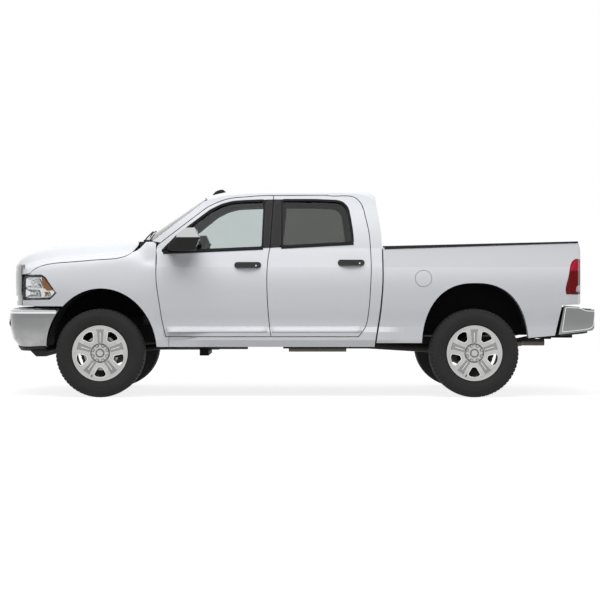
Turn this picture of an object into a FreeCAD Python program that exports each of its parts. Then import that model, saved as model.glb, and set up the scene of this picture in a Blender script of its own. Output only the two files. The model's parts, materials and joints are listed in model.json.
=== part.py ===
import FreeCAD, Part
import math
import os

V = FreeCAD.Vector

# Crew cab pickup truck. X runs from the nose to the tail, the left side is at minus Y, Z is up.
# The origin is on the ground, at the middle of the length and width. Lengths are in millimetres.
# Tables of shares give places as parts of the length and height of the zone that carries them.

# Overall layout
wheelbase = 3660.0
front_overhang = 990.0
rear_overhang = 1210.0
track = 1735.0
half_width = 993.0
sill_z = 494.0
body_height = 1591.0
axle_to_cab = 540.0
cab_length = 2240.0
cab_to_bed = 9.0
bed_to_tail = 145.0
panel_gap = 8.0
fit_gap = 0.3
overrun = 60.0

length = front_overhang + wheelbase + rear_overhang
nose_x = -length / 2
tail_x = length / 2
front_axle_x = nose_x + front_overhang
rear_axle_x = front_axle_x + wheelbase
cab_front_x = front_axle_x + axle_to_cab
cab_rear_x = cab_front_x + cab_length
bed_front_x = cab_rear_x - cab_to_bed
bed_rear_x = tail_x - bed_to_tail
bed_length = bed_rear_x - bed_front_x
nose_length = cab_front_x - nose_x
half_track = track / 2
half_gap = panel_gap / 2

# Wheels and tyres
tyre_diameter = 866.0
tyre_width = 275.0
tyre_tread_width = 226.0
tyre_bead_width = 202.0
tyre_shoulder_drop = 14.0
rim_flange_diameter = 543.0
rim_flange_thickness = 12.0
rim_width = 230.0
rim_seat_diameter = 512.0
rim_wall = 17.0
wheel_face_depth = 44.0
wheel_face_thickness = 44.0
wheel_face_rise = 14.0
wheel_dish_depth = 11.0
wheel_windows = 5
window_radius = 187.0
window_width = 118.0
window_height = 94.0
hub_cap_diameter = 188.0
hub_cap_height = 16.0
hub_dome_diameter = 84.0
hub_dome_height = 30.0
lug_count = 8
lug_circle_diameter = 150.0
lug_diameter = 24.0
lug_height = 12.0
wheel_z = tyre_diameter / 2
tyre_radius = tyre_diameter / 2
rim_radius = rim_flange_diameter / 2
seat_radius = rim_seat_diameter / 2

# Side skin of cab and bed
skin_depth = 15.0
inner_inset = 14.0
door_inner_y = 862.0
door_belt_y = 835.0
door_knee_z = 1100.0
door_belt_z = 1440.0
frame_depth = 45.0
glass_depth = 16.0
glass_thickness = 5.0
ring_clearance = 12.0
ring_thickness = 60.0
upper_ring_thickness = 48.0
aperture_lip = 45.0
ledge_depth = 27.0
ledge_fade_start = 200.0
ledge_fade_length = 400.0
bed_side_inner_y = 880.0
bed_post_inner_y = 800.0
fuel_door_radius = 82.0
fuel_door_x = 1221.0
fuel_door_z = 1163.0
fuel_door_thickness = 12.0
fuel_pocket_depth = 50.0

# Wheel arches
front_arch_half_length = 545.0
front_arch_height = 633.0
rear_arch_half_length = 525.0
rear_arch_height = 686.0
arch_shift = 10.0
front_arch_power_share = 2.0
rear_arch_power_share = 2.4
liner_thickness = 8.0
liner_inner_y = 470.0
liner_outer_y = 935.0
wheelhouse_inner_y = 650.0

# Front skin
front_wall = 34.0
hood_rear_x = -1645.0
hood_rear_side_x = -1575.0
hood_side_y = 800.0
fender_top_z = 1524.0
flank_top_z = 1300.0
grille_depth = 64.0
grille_bar_height = 34.0
grille_bars = 3
grille_rim = 44.0
grille_half_width = 850.0
grille_top_z = 1299.0
grille_base_z = 897.0
lamp_depth = 90.0
fender_strip_z = 892.0

# Glasshouse and cabin
windshield_base_x = -1583.0
windshield_base_side_x = -1425.0
windshield_base_side_y = 850.0
windshield_base_z = 1553.0
windshield_base_side_z = 1540.0
windshield_top_x = -957.0
windshield_top_side_x = -902.0
windshield_top_side_y = 700.0
windshield_top_z = 1979.0
windshield_top_side_z = 1951.0
windshield_thickness = 6.0
roof_side_y = 697.0
roof_rest_width = 100.0
roof_thickness = 36.0
cab_floor_z = 705.0
cab_floor_thickness = 38.0
firewall_x = -1370.0
firewall_thickness = 40.0
firewall_top_z = 1478.0
cab_back_thickness = 35.0
rear_window_half_width = 610.0
rear_window_base_z = 1500.0
rear_window_top_z = 1880.0
cowl_base_z = 1485.0
cowl_top_z = 1526.0
cowl_half_width = 820.0
cowl_depth = 70.0

# Bed
bed_floor_z = 915.0
bed_floor_thickness = 35.0
bed_wall_thickness = 34.0
bed_rail_z = 1500.0
bed_head_x = 842.0
rail_cap_width = 96.0
rail_cap_thickness = 15.0
tailgate_thickness = 68.0
tailgate_base_z = 907.0
tailgate_top_z = 1505.0
tailgate_half_width = 793.0
tailgate_front_x = 2704.0
tailgate_axis_x = 2752.0
tailgate_axis_z = 918.0

# Frame and running gear
rail_inner_y = 370.0
rail_outer_y = 440.0
rail_base_z = 520.0
rail_top_z = 690.0
rail_kick_height = 75.0
rail_kick_x = 950.0
rail_kick_length = 300.0
rail_front_x = -2780.0
rail_rear_x = 2560.0
cross_member_width = 90.0
cross_member_height = 90.0
gearbox_member_height = 45.0
axle_tube_radius = 46.0
differential_radius = 165.0
kingpin_inset = 100.0
kingpin_radius = 40.0
knuckle_half_height = 105.0
yoke_height = 40.0
hub_radius = 62.0
disc_radius = 175.0
disc_thickness = 26.0
disc_inset = 24.0
spring_y = 565.0
spring_width = 74.0
spring_thickness = 42.0
spring_half_length = 690.0
spring_rise = 95.0
coil_radius = 58.0
coil_y = 575.0
damper_radius = 30.0
engine_length = 900.0
engine_width = 560.0
engine_height = 620.0
engine_base_z = 605.0
engine_front_x = -2480.0
radiator_x = -2660.0
radiator_thickness = 70.0
radiator_half_width = 520.0
radiator_base_z = 700.0
radiator_top_z = 1210.0
gearbox_radius = 132.0
gearbox_length = 760.0
transfer_radius = 127.0
transfer_length = 300.0
driveline_z = 560.0
shaft_radius = 44.0
front_shaft_radius = 28.0
front_shaft_gap = 4.0
front_shaft_y = 200.0
tank_length = 900.0
tank_front_x = -150.0
tank_inner_y = 480.0
tank_outer_y = 770.0
tank_base_z = 470.0
tank_height = 215.0
exhaust_radius = 38.0
muffler_radius = 92.0
muffler_length = 620.0
exhaust_y = 600.0
tail_pipe_y = 655.0
tail_pipe_z = 580.0
tail_pipe_end_x = 2700.0
tail_pipe_end_y = 830.0
tail_pipe_end_z = 478.0
receiver_wall = 6.0
receiver_bore = 50.8
receiver_length = 290.0
receiver_z = 585.0
receiver_rear_x = 2850.0
hitch_pin_diameter = 16.0
hitch_pin_setback = 60.0

# Bumpers
bumper_thickness = 40.0
front_bumper_base_z = 495.0
front_bumper_top_z = 872.0
rear_bumper_inner_x = 2600.0
plate_bolt_spacing = 178.0
plate_bolt_diameter = 8.0

# Seats and dashboard
seat_width = 540.0
seat_y = 424.0
seat_cushion_height = 190.0
seat_cushion_length = 540.0
seat_base_height = 190.0
seat_back_height = 640.0
seat_back_thickness = 170.0
seat_lean = 150.0
headrest_width = 280.0
headrest_height = 190.0
headrest_thickness = 110.0
front_seat_x = -640.0
rear_seat_x = 180.0
rear_seat_half_width = 700.0
dash_front_x = -1328.0
dash_depth = 330.0
dash_base_z = 1080.0
dash_top_z = 1470.0
dash_half_width = 740.0
steering_wheel_radius = 195.0
steering_rim_radius = 16.0
steering_wheel_x = -850.0
steering_wheel_y = -430.0
steering_wheel_z = 1330.0
steering_column_radius = 34.0
steering_tilt_share = 0.42

# Mirrors
mirror_inner_y = 985.0
mirror_outer_y = 1195.0
mirror_arm_height = 50.0
mirror_arm_y = 872.0
mirror_round = 14.0
sail_edge_x = -1200.0

# Side profile, from the sill up: share of the half width, share of the body height
sill_shares = ((0.965, 0.000), (0.970, 0.042), (0.969, 0.092), (0.969, 0.123))
side_shares = ((0.969, 0.123), (0.975, 0.167), (0.985, 0.211), (0.995, 0.287), (1.000, 0.381),
               (0.992, 0.444), (0.975, 0.491))
cab_shoulder_shares = ((0.975, 0.491), (0.947, 0.538), (0.922, 0.582), (0.906, 0.607))
house_shares = ((0.906, 0.607), (0.876, 0.679), (0.806, 0.798), (0.750, 0.881), (0.725, 0.924),
                (0.700, 0.966))
bed_shoulder_shares = ((0.975, 0.491), (0.962, 0.538), (0.951, 0.582), (0.944, 0.620), (0.940, 0.660))

# Cab outlines: share of the cab length, share of the body height
door_front_shares = ((0.016, 0.638), (0.004, 0.618), (0.003, 0.570), (0.003, 0.487), (0.008, 0.358),
                     (0.018, 0.265), (0.028, 0.170), (0.041, 0.088), (0.045, 0.063))
door_split_shares = ((0.505, 0.063), (0.499, 0.123), (0.491, 0.250), (0.487, 0.426), (0.491, 0.532),
                     (0.500, 0.611))
door_split_top_share = (0.516, 0.940)
front_frame_shares = ((0.516, 0.940), (0.439, 0.937), (0.388, 0.931), (0.337, 0.925), (0.286, 0.907),
                      (0.214, 0.857))
rear_frame_shares = ((0.754, 0.942), (0.831, 0.938), (0.877, 0.926), (0.901, 0.893), (0.921, 0.805),
                     (0.935, 0.711), (0.941, 0.603), (0.943, 0.497), (0.940, 0.390), (0.936, 0.285),
                     (0.929, 0.193), (0.917, 0.123), (0.901, 0.088), (0.886, 0.063))
front_window_base_shares = ((0.033, 0.582), (0.470, 0.609))
front_window_top_shares = ((0.479, 0.913), (0.388, 0.909), (0.337, 0.904), (0.286, 0.885), (0.234, 0.847))
front_window_nose_shares = ((0.096, 0.696), (0.026, 0.594))
rear_window_outline_shares = ((0.549, 0.615), (0.867, 0.639))
rear_window_back_shares = ((0.867, 0.639), (0.864, 0.711), (0.855, 0.798), (0.846, 0.863), (0.825, 0.896),
                           (0.800, 0.909), (0.703, 0.915))
rear_window_front_share = (0.550, 0.915)
cab_back_low_shares = ((0.957, 0.000), (0.962, 0.060), (0.972, 0.144), (0.979, 0.214), (0.987, 0.321),
                       (0.991, 0.426), (0.991, 0.497), (0.991, 0.596))
cab_back_high_shares = ((0.991, 0.596), (0.991, 0.632), (0.988, 0.711), (0.977, 0.819), (0.963, 0.915),
                        (0.949, 0.962))
pillar_foot_share = (-0.017, 0.652)
pillar_head_share = (0.240, 0.937)
pillar_tip_share = (0.262, 0.966)
rocker_front_shares = ((0.060, 0.000), (0.060, 0.100), (0.050, 0.600), (0.018, 0.644))
roof_x_shares = (0.203, 0.232, 0.268, 0.313, 0.357, 0.424, 0.536, 0.670, 0.804, 0.875, 0.911, 0.937, 0.957,
                 0.969)
roof_crown_shares = (0.936, 0.950, 0.965, 0.977, 0.984, 0.989, 0.996, 1.000, 0.999, 0.995, 0.991, 0.981,
                     0.962, 0.942)
roof_rail_shares = (0.899, 0.915, 0.929, 0.942, 0.949, 0.954, 0.956, 0.956, 0.956, 0.953, 0.946, 0.933,
                    0.915, 0.900)
mirror_outline_shares = ((0.067, 0.590), (0.064, 0.631), (0.087, 0.642), (0.105, 0.694), (0.137, 0.727),
                         (0.179, 0.729), (0.198, 0.666), (0.179, 0.590))
mirror_arm_share = (0.052, 0.598)
roof_arc_shares = ((1.00, 0.00), (0.93, 0.50), (0.72, 0.80), (0.35, 0.95), (0.00, 1.00))

# Bed outlines: share of the bed length, share of the body height
bed_front_shares = ((-0.035, 0.024), (-0.031, 0.060), (-0.019, 0.144), (-0.011, 0.214), (-0.003, 0.321),
                    (0.001, 0.426), (0.001, 0.497), (0.000, 0.611))
bed_top_shares = ((0.000, 0.611), (0.977, 0.640))
bed_tail_shares = ((0.977, 0.640), (0.991, 0.606), (0.996, 0.547), (1.000, 0.435), (0.999, 0.322),
                   (0.993, 0.264))
bed_under_shares = ((0.993, 0.264), (0.892, 0.255), (0.859, 0.070), (0.600, 0.040), (0.200, 0.024),
                    (-0.035, 0.024))
tail_lamp_shares = ((0.962, 0.541), (0.943, 0.521), (0.930, 0.466), (0.920, 0.411), (0.910, 0.341),
                    (0.914, 0.322))
tail_lamp_end_share = 1.03
rear_bumper_shares = ((0.904, 0.254), (0.978, 0.246), (0.990, 0.226), (1.070, 0.230), (1.074, 0.199),
                      (1.062, 0.120), (1.049, 0.100), (0.875, 0.076))

# Nose outlines: share of the nose length, share of the body height
hood_line_shares = ((0.190, 0.452), (0.215, 0.475), (0.262, 0.497), (0.454, 0.522), (0.652, 0.537),
                    (0.784, 0.551), (0.812, 0.561), (0.887, 0.635), (0.930, 0.680))
lamp_outline_shares = ((0.137, 0.443), (0.269, 0.442), (0.295, 0.427), (0.335, 0.371), (0.366, 0.332),
                       (0.346, 0.311), (0.324, 0.293), (0.145, 0.289))
skin_x_shares = (0.052, 0.059, 0.072, 0.092, 0.115, 0.140, 0.175, 0.216, 0.314, 0.477, 0.647, 0.804, 0.890,
                 1.003)
skin_width_shares = (0.645, 0.690, 0.750, 0.800, 0.838, 0.866, 0.900, 0.925, 0.965, 0.989, 0.999, 1.000,
                     1.000, 1.000)
skin_crown_shares = (0.507, 0.523, 0.541, 0.558, 0.572, 0.584, 0.597, 0.608, 0.629, 0.645, 0.656, 0.664,
                     0.668, 0.672)
skin_line_shares = (0.430, 0.436, 0.444, 0.452, 0.459, 0.466, 0.477, 0.487, 0.505, 0.524, 0.537, 0.552,
                    0.552, 0.551)
skin_crease_shares = (0.395, 0.400, 0.405, 0.411, 0.416, 0.421, 0.428, 0.435, 0.455, 0.473, 0.483, 0.487,
                      0.488, 0.488)
top_y_shares = (0.00, 0.30, 0.60, 0.70, 0.78, 0.86, 0.945)
top_drop_shares = (0.00, 0.02, 0.11, 0.31, 0.68, 0.80, 1.00)
rear_top_y_shares = (0.00, 0.30, 0.60, 0.80, 0.868, 0.908, 0.947)
rear_top_drop_shares = (0.00, 0.02, 0.08, 0.14, 0.26, 0.56, 1.12)
rear_blend_shares = (0.80, 0.97)
low_skin_shares = ((0.982, 0.492), (1.000, 0.381), (0.995, 0.287), (0.985, 0.211), (0.972, 0.130),
                   (0.968, 0.060), (0.965, -0.004))

# Plan curves: share of the half width, share of the nose length behind the nose
bumper_plan_shares = ((0.000, 0.000), (0.250, 0.004), (0.500, 0.016), (0.700, 0.038), (0.830, 0.062),
                      (0.905, 0.090), (0.955, 0.130), (0.985, 0.210), (0.995, 0.385))
bumper_level_shares = ((0.000, 1.10), (0.180, 0.44), (0.450, 0.13), (0.750, 0.00), (0.930, 0.10),
                       (1.000, 0.55))
grille_level_shares = ((0.00, 0.20), (0.35, 0.05), (0.70, 0.00), (1.00, 0.12))
grille_plan_shares = ((0.000, 0.042), (0.300, 0.045), (0.520, 0.057), (0.680, 0.078), (0.770, 0.098),
                      (0.835, 0.121), (0.870, 0.140))
rear_plan_shares = ((0.000, 1.000), (0.700, 1.000), (0.880, 0.994), (0.960, 0.975), (0.992, 0.930),
                    (0.992, 0.700))


def box(x0, x1, y0, y1, z0, z1):
    return Part.makeBox(x1 - x0, y1 - y0, z1 - z0, V(x0, y0, z0))


def rod(start, end, radius):
    span = end.sub(start)
    return Part.makeCylinder(radius, span.Length, start, span)


def mirrored(shape):
    return shape.mirror(V(0, 0, 0), V(0, 1, 0))


def both(shape):
    return Part.makeCompound([shape, mirrored(shape)])


def joined(shapes):
    return shapes[0].fuse(list(shapes[1:]))


def curve(points):
    if len(points) == 2:
        return Part.LineSegment(points[0], points[1]).toShape()
    spline = Part.BSplineCurve()
    spline.interpolate(points)
    return spline.toShape()


def closed(runs):
    """One closed wire: each run of points is a straight edge or a smooth one, and gaps are bridged."""
    edges = []
    for index, run in enumerate(runs):
        edges.append(curve(run))
        following = runs[(index + 1) % len(runs)][0]
        if run[-1].distanceToPoint(following) > fit_gap / 100:
            edges.append(curve([run[-1], following]))
    return Part.Wire(edges)


def polygon(points):
    return Part.makePolygon(list(points) + [points[0]])


def cab_at(pair):
    return V(cab_front_x + pair[0] * cab_length, 0, sill_z + pair[1] * body_height)


def bed_at(pair):
    return V(bed_front_x + pair[0] * bed_length, 0, sill_z + pair[1] * body_height)


def nose_at(pair):
    return V(nose_x + pair[0] * nose_length, 0, sill_z + pair[1] * body_height)


def grown(face, distance):
    """A flat face grown outward on all sides, with plain splines for edges."""
    edges = []
    for edge in face.makeOffset2D(distance).OuterWire.Edges:
        if edge.Curve.TypeId == "Part::GeomOffsetCurve":
            edge = edge.Curve.toBSpline(edge.FirstParameter, edge.LastParameter).toShape()
        edges.append(edge)
    return Part.Face(Part.Wire(Part.sortEdges(edges)[0]))


def side_prism(runs, inner_y, outer_y, grow=0.0):
    """A prism across the car from a side outline, between two distances left of the middle."""
    face = Part.Face(closed(runs))
    if grow:
        face = grown(face, grow)
    face.translate(V(0, -outer_y, 0))
    return face.extrude(V(0, outer_y - inner_y, 0))


def upright_prism(points, z0, z1):
    face = Part.Face(polygon([V(p[0], p[1], z0) for p in points]))
    return face.extrude(V(0, 0, z1 - z0))


def arch_runs(axle_x, half_length, height, power, grow=0.0):
    """The outline of a wheel arch, open at the ground."""
    centre_x = axle_x + arch_shift
    points = []
    steps = 24
    for step in range(steps + 1):
        angle = math.pi * step / steps
        across = abs(math.cos(angle)) ** (2 / power) * math.copysign(1, math.cos(angle))
        up = math.sin(angle) ** (2 / power)
        points.append(V(centre_x - across * (half_length + grow), 0, wheel_z + up * (height + grow)))
    foot = [V(points[-1].x, 0, -overrun), V(points[0].x, 0, -overrun)]
    return [points, foot]


def front_arch(inner_y, outer_y, grow=0.0):
    runs = arch_runs(front_axle_x, front_arch_half_length, front_arch_height, front_arch_power_share, grow)
    return side_prism(runs, inner_y, outer_y)


def rear_arch(inner_y, outer_y, grow=0.0):
    runs = arch_runs(rear_axle_x, rear_arch_half_length, rear_arch_height, rear_arch_power_share, grow)
    return side_prism(runs, inner_y, outer_y)


def skin_runs(ledge, depth, upper):
    """The body side at one section, as runs of (distance from the middle, height)."""
    def place(pair, extra=0.0):
        return (pair[0] * half_width + extra - depth, sill_z + pair[1] * body_height)
    foot = [place(sill_shares[0], ledge * 0.5), place(sill_shares[1], ledge)]
    face = [foot[1], place(sill_shares[2], ledge)]
    step = [face[1], place(sill_shares[3])]
    runs = [foot, face, step, [place(pair) for pair in side_shares]]
    for shares in upper:
        runs.append([place(pair) for pair in shares])
    return runs


def flat_runs(shift, depth, upper):
    """The flat inner side of a door or pillar, then the glasshouse at the given depth."""
    low = [(door_inner_y - shift, sill_z), (door_inner_y - shift, door_knee_z)]
    high = [low[1], (door_belt_y - shift, door_belt_z)]
    runs = [low, high]
    for shares in upper:
        runs.append([(p[0] * half_width - depth, sill_z + p[1] * body_height) for p in shares])
    return runs


def section(x, outer, inner):
    forward = [[V(x, -p[0], p[1]) for p in run] for run in outer]
    back = [[V(x, -p[0], p[1]) for p in reversed(run)] for run in reversed(inner)]
    return closed(forward + back)


def swept(sections):
    solid = Part.makeLoft(sections, True, True)
    if solid.Volume < 0:
        solid.reverse()
    return solid


def ledge_at(x):
    """How far the step above the sill stands out: it fades in along the front door and out on the bed."""
    rise = (x - cab_front_x - ledge_fade_start) / ledge_fade_length
    fall = (bed_front_x + ledge_fade_start - x) / ledge_fade_start
    share = max(0.0, min(1.0, rise, fall))
    return ledge_depth * share * share * (3 - 2 * share)


def stations(x0, x1):
    fade = cab_front_x + ledge_fade_start
    marks = [x0, x1]
    for step in range(7):
        marks.append(fade + ledge_fade_length * step / 6)
    for step in range(5):
        marks.append(bed_front_x + ledge_fade_start * step / 4)
    return sorted(x for x in set(marks) if x0 <= x <= x1)


def skin_slab(x0, x1, near, far, upper):
    """A slab under the side skin, from one depth to another."""
    return swept([section(x, skin_runs(ledge_at(x), near, upper), skin_runs(ledge_at(x), far, upper))
                  for x in stations(x0, x1)])


def deep_slab(x0, x1, near, upper):
    """A slab from a depth under the skin to the flat inner side of a door."""
    upper_inner = (house_shares,)
    return swept([section(x, skin_runs(ledge_at(x), near, upper), flat_runs(0.0, frame_depth, upper_inner))
                  for x in stations(x0, x1)])


cab_upper = (cab_shoulder_shares, house_shares)


def placed(shares, at):
    return [at(pair) for pair in shares]


def front_door_runs():
    head = placed(front_frame_shares, cab_at)
    return [placed(door_front_shares, cab_at), placed(door_split_shares, cab_at), head]


def rear_door_runs():
    top = [cab_at(door_split_top_share), cab_at(rear_frame_shares[0])]
    return [placed(door_split_shares, cab_at), top, placed(rear_frame_shares, cab_at)]


def front_window_runs():
    return [placed(front_window_base_shares, cab_at), placed(front_window_top_shares, cab_at),
            placed(front_window_nose_shares, cab_at)]


def rear_window_runs():
    return [placed(rear_window_outline_shares, cab_at), placed(rear_window_back_shares, cab_at),
            [cab_at(rear_window_back_shares[-1]), cab_at(rear_window_front_share)]]


def side_door(outline, window, x0, x1):
    """A door: thin outer skin over a thicker, slightly smaller inner panel, with its window cut."""
    reach = half_width + overrun
    skin = skin_slab(x0, x1, 0.0, skin_depth, cab_upper)
    skin = skin.common(side_prism(outline, 0.0, reach, -half_gap))
    inner = deep_slab(x0, x1, skin_depth, cab_upper)
    inner = inner.common(side_prism(outline, 0.0, reach, -half_gap - inner_inset))
    return joined([skin, inner]).cut(side_prism(window, 0.0, reach))


def side_glass(window, x0, x1):
    pane = skin_slab(x0, x1, glass_depth, glass_depth + glass_thickness, cab_upper)
    return pane.common(side_prism(window, 0.0, half_width + overrun, -fit_gap))


def roof_stations():
    return [cab_front_x + share * cab_length for share in roof_x_shares]


def rail_heights():
    return [sill_z + share * body_height for share in roof_rail_shares]


def above_rails():
    """Everything above the line where the roof rests on the cab sides."""
    xs = roof_stations()
    zs = rail_heights()
    top = sill_z + body_height + overrun
    points = [V(x, 0, z) for x, z in zip(xs, zs)]
    points += [V(xs[-1] + overrun, 0, zs[-1]), V(xs[-1] + overrun, 0, top)]
    points += [V(xs[0] - overrun, 0, top), V(xs[0] - overrun, 0, zs[0])]
    face = Part.Face(polygon(points))
    face.translate(V(0, -half_width - overrun, 0))
    return face.extrude(V(0, 2 * (half_width + overrun), 0))


def cab_outline():
    rear_low = placed(cab_back_low_shares, cab_at)
    rear_low.reverse()
    rear_high = placed(cab_back_high_shares, cab_at)
    rear_high.reverse()
    pillar = [cab_at(pillar_foot_share), cab_at(pillar_head_share), cab_at(pillar_tip_share)]
    runs = [pillar[0:2], pillar[1:3], rear_high, rear_low]
    front = placed(rocker_front_shares, cab_at)
    for start, end in zip(front, front[1:]):
        runs.append([start, end])
    return runs


def cabin_section(x):
    """The clear inside of the cabin between the pillars."""
    inner = flat_runs(ring_clearance + ring_thickness, frame_depth + ring_clearance + upper_ring_thickness,
                      (house_shares,))
    forward = [[V(x, -p[0], p[1]) for p in run] for run in inner]
    back = [[V(x, p[0], p[1]) for p in reversed(run)] for run in reversed(inner)]
    return closed(forward + back)


def cabin_space():
    return swept([cabin_section(firewall_x), cabin_section(cab_rear_x)])


def cab_side():
    """One cab side: pillars, roof rail, quarter panel and rocker around two door openings."""
    reach = half_width + overrun
    x0 = cab_front_x - overrun
    x1 = cab_rear_x
    shift = ring_clearance
    upper = frame_depth + ring_clearance
    xs = stations(x0, x1)
    shell = swept([section(x, skin_runs(ledge_at(x), 0.0, cab_upper), flat_runs(shift, upper, (house_shares,)))
                   for x in xs])
    shell = shell.common(side_prism(cab_outline(), 0.0, reach))
    front = front_door_runs()
    rear = rear_door_runs()
    for outline in (front, rear):
        shell = shell.cut(side_prism(outline, 0.0, reach, half_gap))
    far = ring_clearance + ring_thickness
    ring = swept([section(x, flat_runs(shift, upper, (house_shares,)),
                          flat_runs(far, upper + upper_ring_thickness, (house_shares,)))
                  for x in (firewall_x, cab_rear_x)])
    ring = ring.common(side_prism(cab_outline(), 0.0, reach, 0.0))
    for outline in (front, rear):
        ring = ring.cut(side_prism(outline, 0.0, reach, -aperture_lip))
    return joined([shell, ring]).cut(above_rails()).cut(windshield_block())


def back_band():
    """The curved back wall of the cab as a band across the car."""
    outer = placed(cab_back_low_shares, cab_at)
    high = placed(cab_back_high_shares, cab_at)
    inner_low = [V(p.x - cab_back_thickness, 0, p.z) for p in outer]
    inner_high = [V(p.x - cab_back_thickness, 0, p.z) for p in high]
    inner_low.reverse()
    inner_high.reverse()
    return side_prism([outer, high, inner_high, inner_low], -half_width, half_width)


def rear_window_frame(grow):
    half = rear_window_half_width + grow
    return box(cab_rear_x - cab_length / 4, cab_rear_x + overrun, -half, half,
               rear_window_base_z - grow, rear_window_top_z + grow)


def cab_back():
    wall = back_band().common(cabin_space())
    floor_cut = box(cab_front_x, cab_rear_x + overrun, -half_width, half_width, 0.0, cab_floor_z)
    return wall.cut(above_rails()).cut(floor_cut).cut(rear_window_frame(0.0))


def rear_glass():
    pane = back_band().common(rear_window_frame(-fit_gap))
    shifted = pane.copy()
    shifted.translate(V(glass_thickness - cab_back_thickness / 2, 0, 0))
    pane.translate(V(-cab_back_thickness / 2, 0, 0))
    return shifted.cut(pane)


def roof_section(x, crown_z, rail_z):
    outer = []
    inner = []
    inner_half = roof_side_y - roof_rest_width
    for across, up in roof_arc_shares:
        outer.append(V(x, -roof_side_y * across, rail_z + (crown_z - rail_z) * up))
        inner.append(V(x, -inner_half * across, rail_z + (crown_z - roof_thickness - rail_z) * up))
    far_outer = [V(p.x, -p.y, p.z) for p in reversed(outer[:-1])]
    far_inner = [V(p.x, -p.y, p.z) for p in reversed(inner[:-1])]
    back = inner + far_inner
    back.reverse()
    return closed([outer + far_outer, back])


def roof():
    crowns = [sill_z + share * body_height for share in roof_crown_shares]
    rows = zip(roof_stations(), crowns, rail_heights())
    panel = swept([roof_section(x, crown, rail) for x, crown, rail in rows])
    return panel.cut(windshield_block())


def arc_edge(x_mid, z_mid, x_side, y_side, z_side):
    middle = V(x_mid, 0, z_mid)
    return Part.Arc(V(x_side, -y_side, z_side), middle, V(x_side, y_side, z_side)).toShape()


def windshield_face(shift):
    base = arc_edge(windshield_base_x, windshield_base_z, windshield_base_side_x, windshield_base_side_y,
                    windshield_base_side_z)
    top = arc_edge(windshield_top_x, windshield_top_z, windshield_top_side_x, windshield_top_side_y,
                   windshield_top_side_z)
    face = Part.makeRuledSurface(base, top)
    lean = windshield_normal()
    face.translate(V(lean.x * shift, 0, lean.z * shift))
    return face


def windshield_normal():
    rise = windshield_top_side_z - windshield_base_side_z
    run = windshield_top_side_x - windshield_base_side_x
    size = math.hypot(rise, run)
    return V(-rise / size, 0, run / size)


def windshield():
    return windshield_face(0.0).extrude(windshield_normal().multiply(windshield_thickness))


def windshield_block():
    """The space that the windshield and its seal need in front of the roof edge."""
    return windshield_face(-fit_gap).extrude(windshield_normal().multiply(4 * overrun))


def cowl():
    front = arc_edge(hood_rear_x + panel_gap, cowl_base_z, hood_rear_side_x + panel_gap, hood_side_y,
                     cowl_base_z)
    back = arc_edge(windshield_base_x, cowl_base_z, windshield_base_side_x, windshield_base_side_y,
                    cowl_base_z)
    back.translate(V(cowl_depth, 0, 0))
    wide = Part.makeRuledSurface(front, back).extrude(V(0, 0, cowl_top_z - cowl_base_z))
    tray = wide.common(box(hood_rear_x, firewall_x - fit_gap, -cowl_half_width, cowl_half_width,
                           cowl_base_z, cowl_top_z))
    return tray


def firewall():
    inner = box(firewall_x, firewall_x + firewall_thickness, -half_width, half_width, cab_floor_z,
                firewall_top_z)
    return inner.common(cabin_space())


def cab_floor():
    front = firewall_x + firewall_thickness
    plate = box(front, cab_rear_x, -half_width, half_width, cab_floor_z, cab_floor_z + cab_floor_thickness)
    return largest(plate.common(cabin_space()).cut(back_band()))


def smooth_share(value):
    value = max(0.0, min(1.0, value))
    return value * value * (3 - 2 * value)


def skin_points(index):
    """Points of the front skin at one station, from the middle over the fender to the sill."""
    width = skin_width_shares[index] * half_width
    crown = sill_z + skin_crown_shares[index] * body_height
    line = sill_z + skin_line_shares[index] * body_height
    crease = sill_z + skin_crease_shares[index] * body_height
    start, end = rear_blend_shares
    blend = smooth_share((skin_x_shares[index] - start) / (end - start))
    points = []
    for step in range(len(top_y_shares)):
        across = top_y_shares[step] + blend * (rear_top_y_shares[step] - top_y_shares[step])
        drop = top_drop_shares[step] + blend * (rear_top_drop_shares[step] - top_drop_shares[step])
        points.append((across * width, crown - drop * (crown - line)))
    for across, up in low_skin_shares:
        height = sill_z + up * body_height
        if up == low_skin_shares[0][1]:
            height = crease
        points.append((across * width, height))
    return points


def inward(points, distance):
    """The same section moved inward along its own normals."""
    moved = []
    last = len(points) - 1
    for index, point in enumerate(points):
        before = points[max(index - 1, 0)]
        after = points[min(index + 1, last)]
        run = after[0] - before[0]
        rise = after[1] - before[1]
        if index == 0:
            rise = 0.0
        size = math.hypot(run, rise)
        moved.append((point[0] + rise / size * distance, point[1] - run / size * distance))
    return moved


def smooth_face(grid):
    surface = Part.BSplineSurface()
    surface.interpolate(grid)
    return surface


def thick_sheet(outer_grid, inner_grid):
    """A closed solid between two smooth grids of points with the same rows and columns."""
    outer = smooth_face(outer_grid)
    inner = smooth_face(inner_grid)
    faces = [outer.toShape(), inner.toShape()]
    u0, u1, v0, v1 = outer.bounds()
    a0, a1, b0, b1 = inner.bounds()
    pairs = [(outer.uIso(u0), inner.uIso(a0)), (outer.uIso(u1), inner.uIso(a1)),
             (outer.vIso(v0), inner.vIso(b0)), (outer.vIso(v1), inner.vIso(b1))]
    for one, other in pairs:
        faces.append(Part.makeRuledSurface(one.toShape(), other.toShape()))
    shell = Part.makeCompound(faces)
    shell.sewShape()
    solid = Part.Solid(shell.Shells[0])
    if solid.Volume < 0:
        solid.reverse()
    return solid


def full_row(x, points):
    left = [V(x, -p[0], p[1]) for p in reversed(points)]
    right = [V(x, p[0], p[1]) for p in points[1:]]
    return left + right


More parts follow.
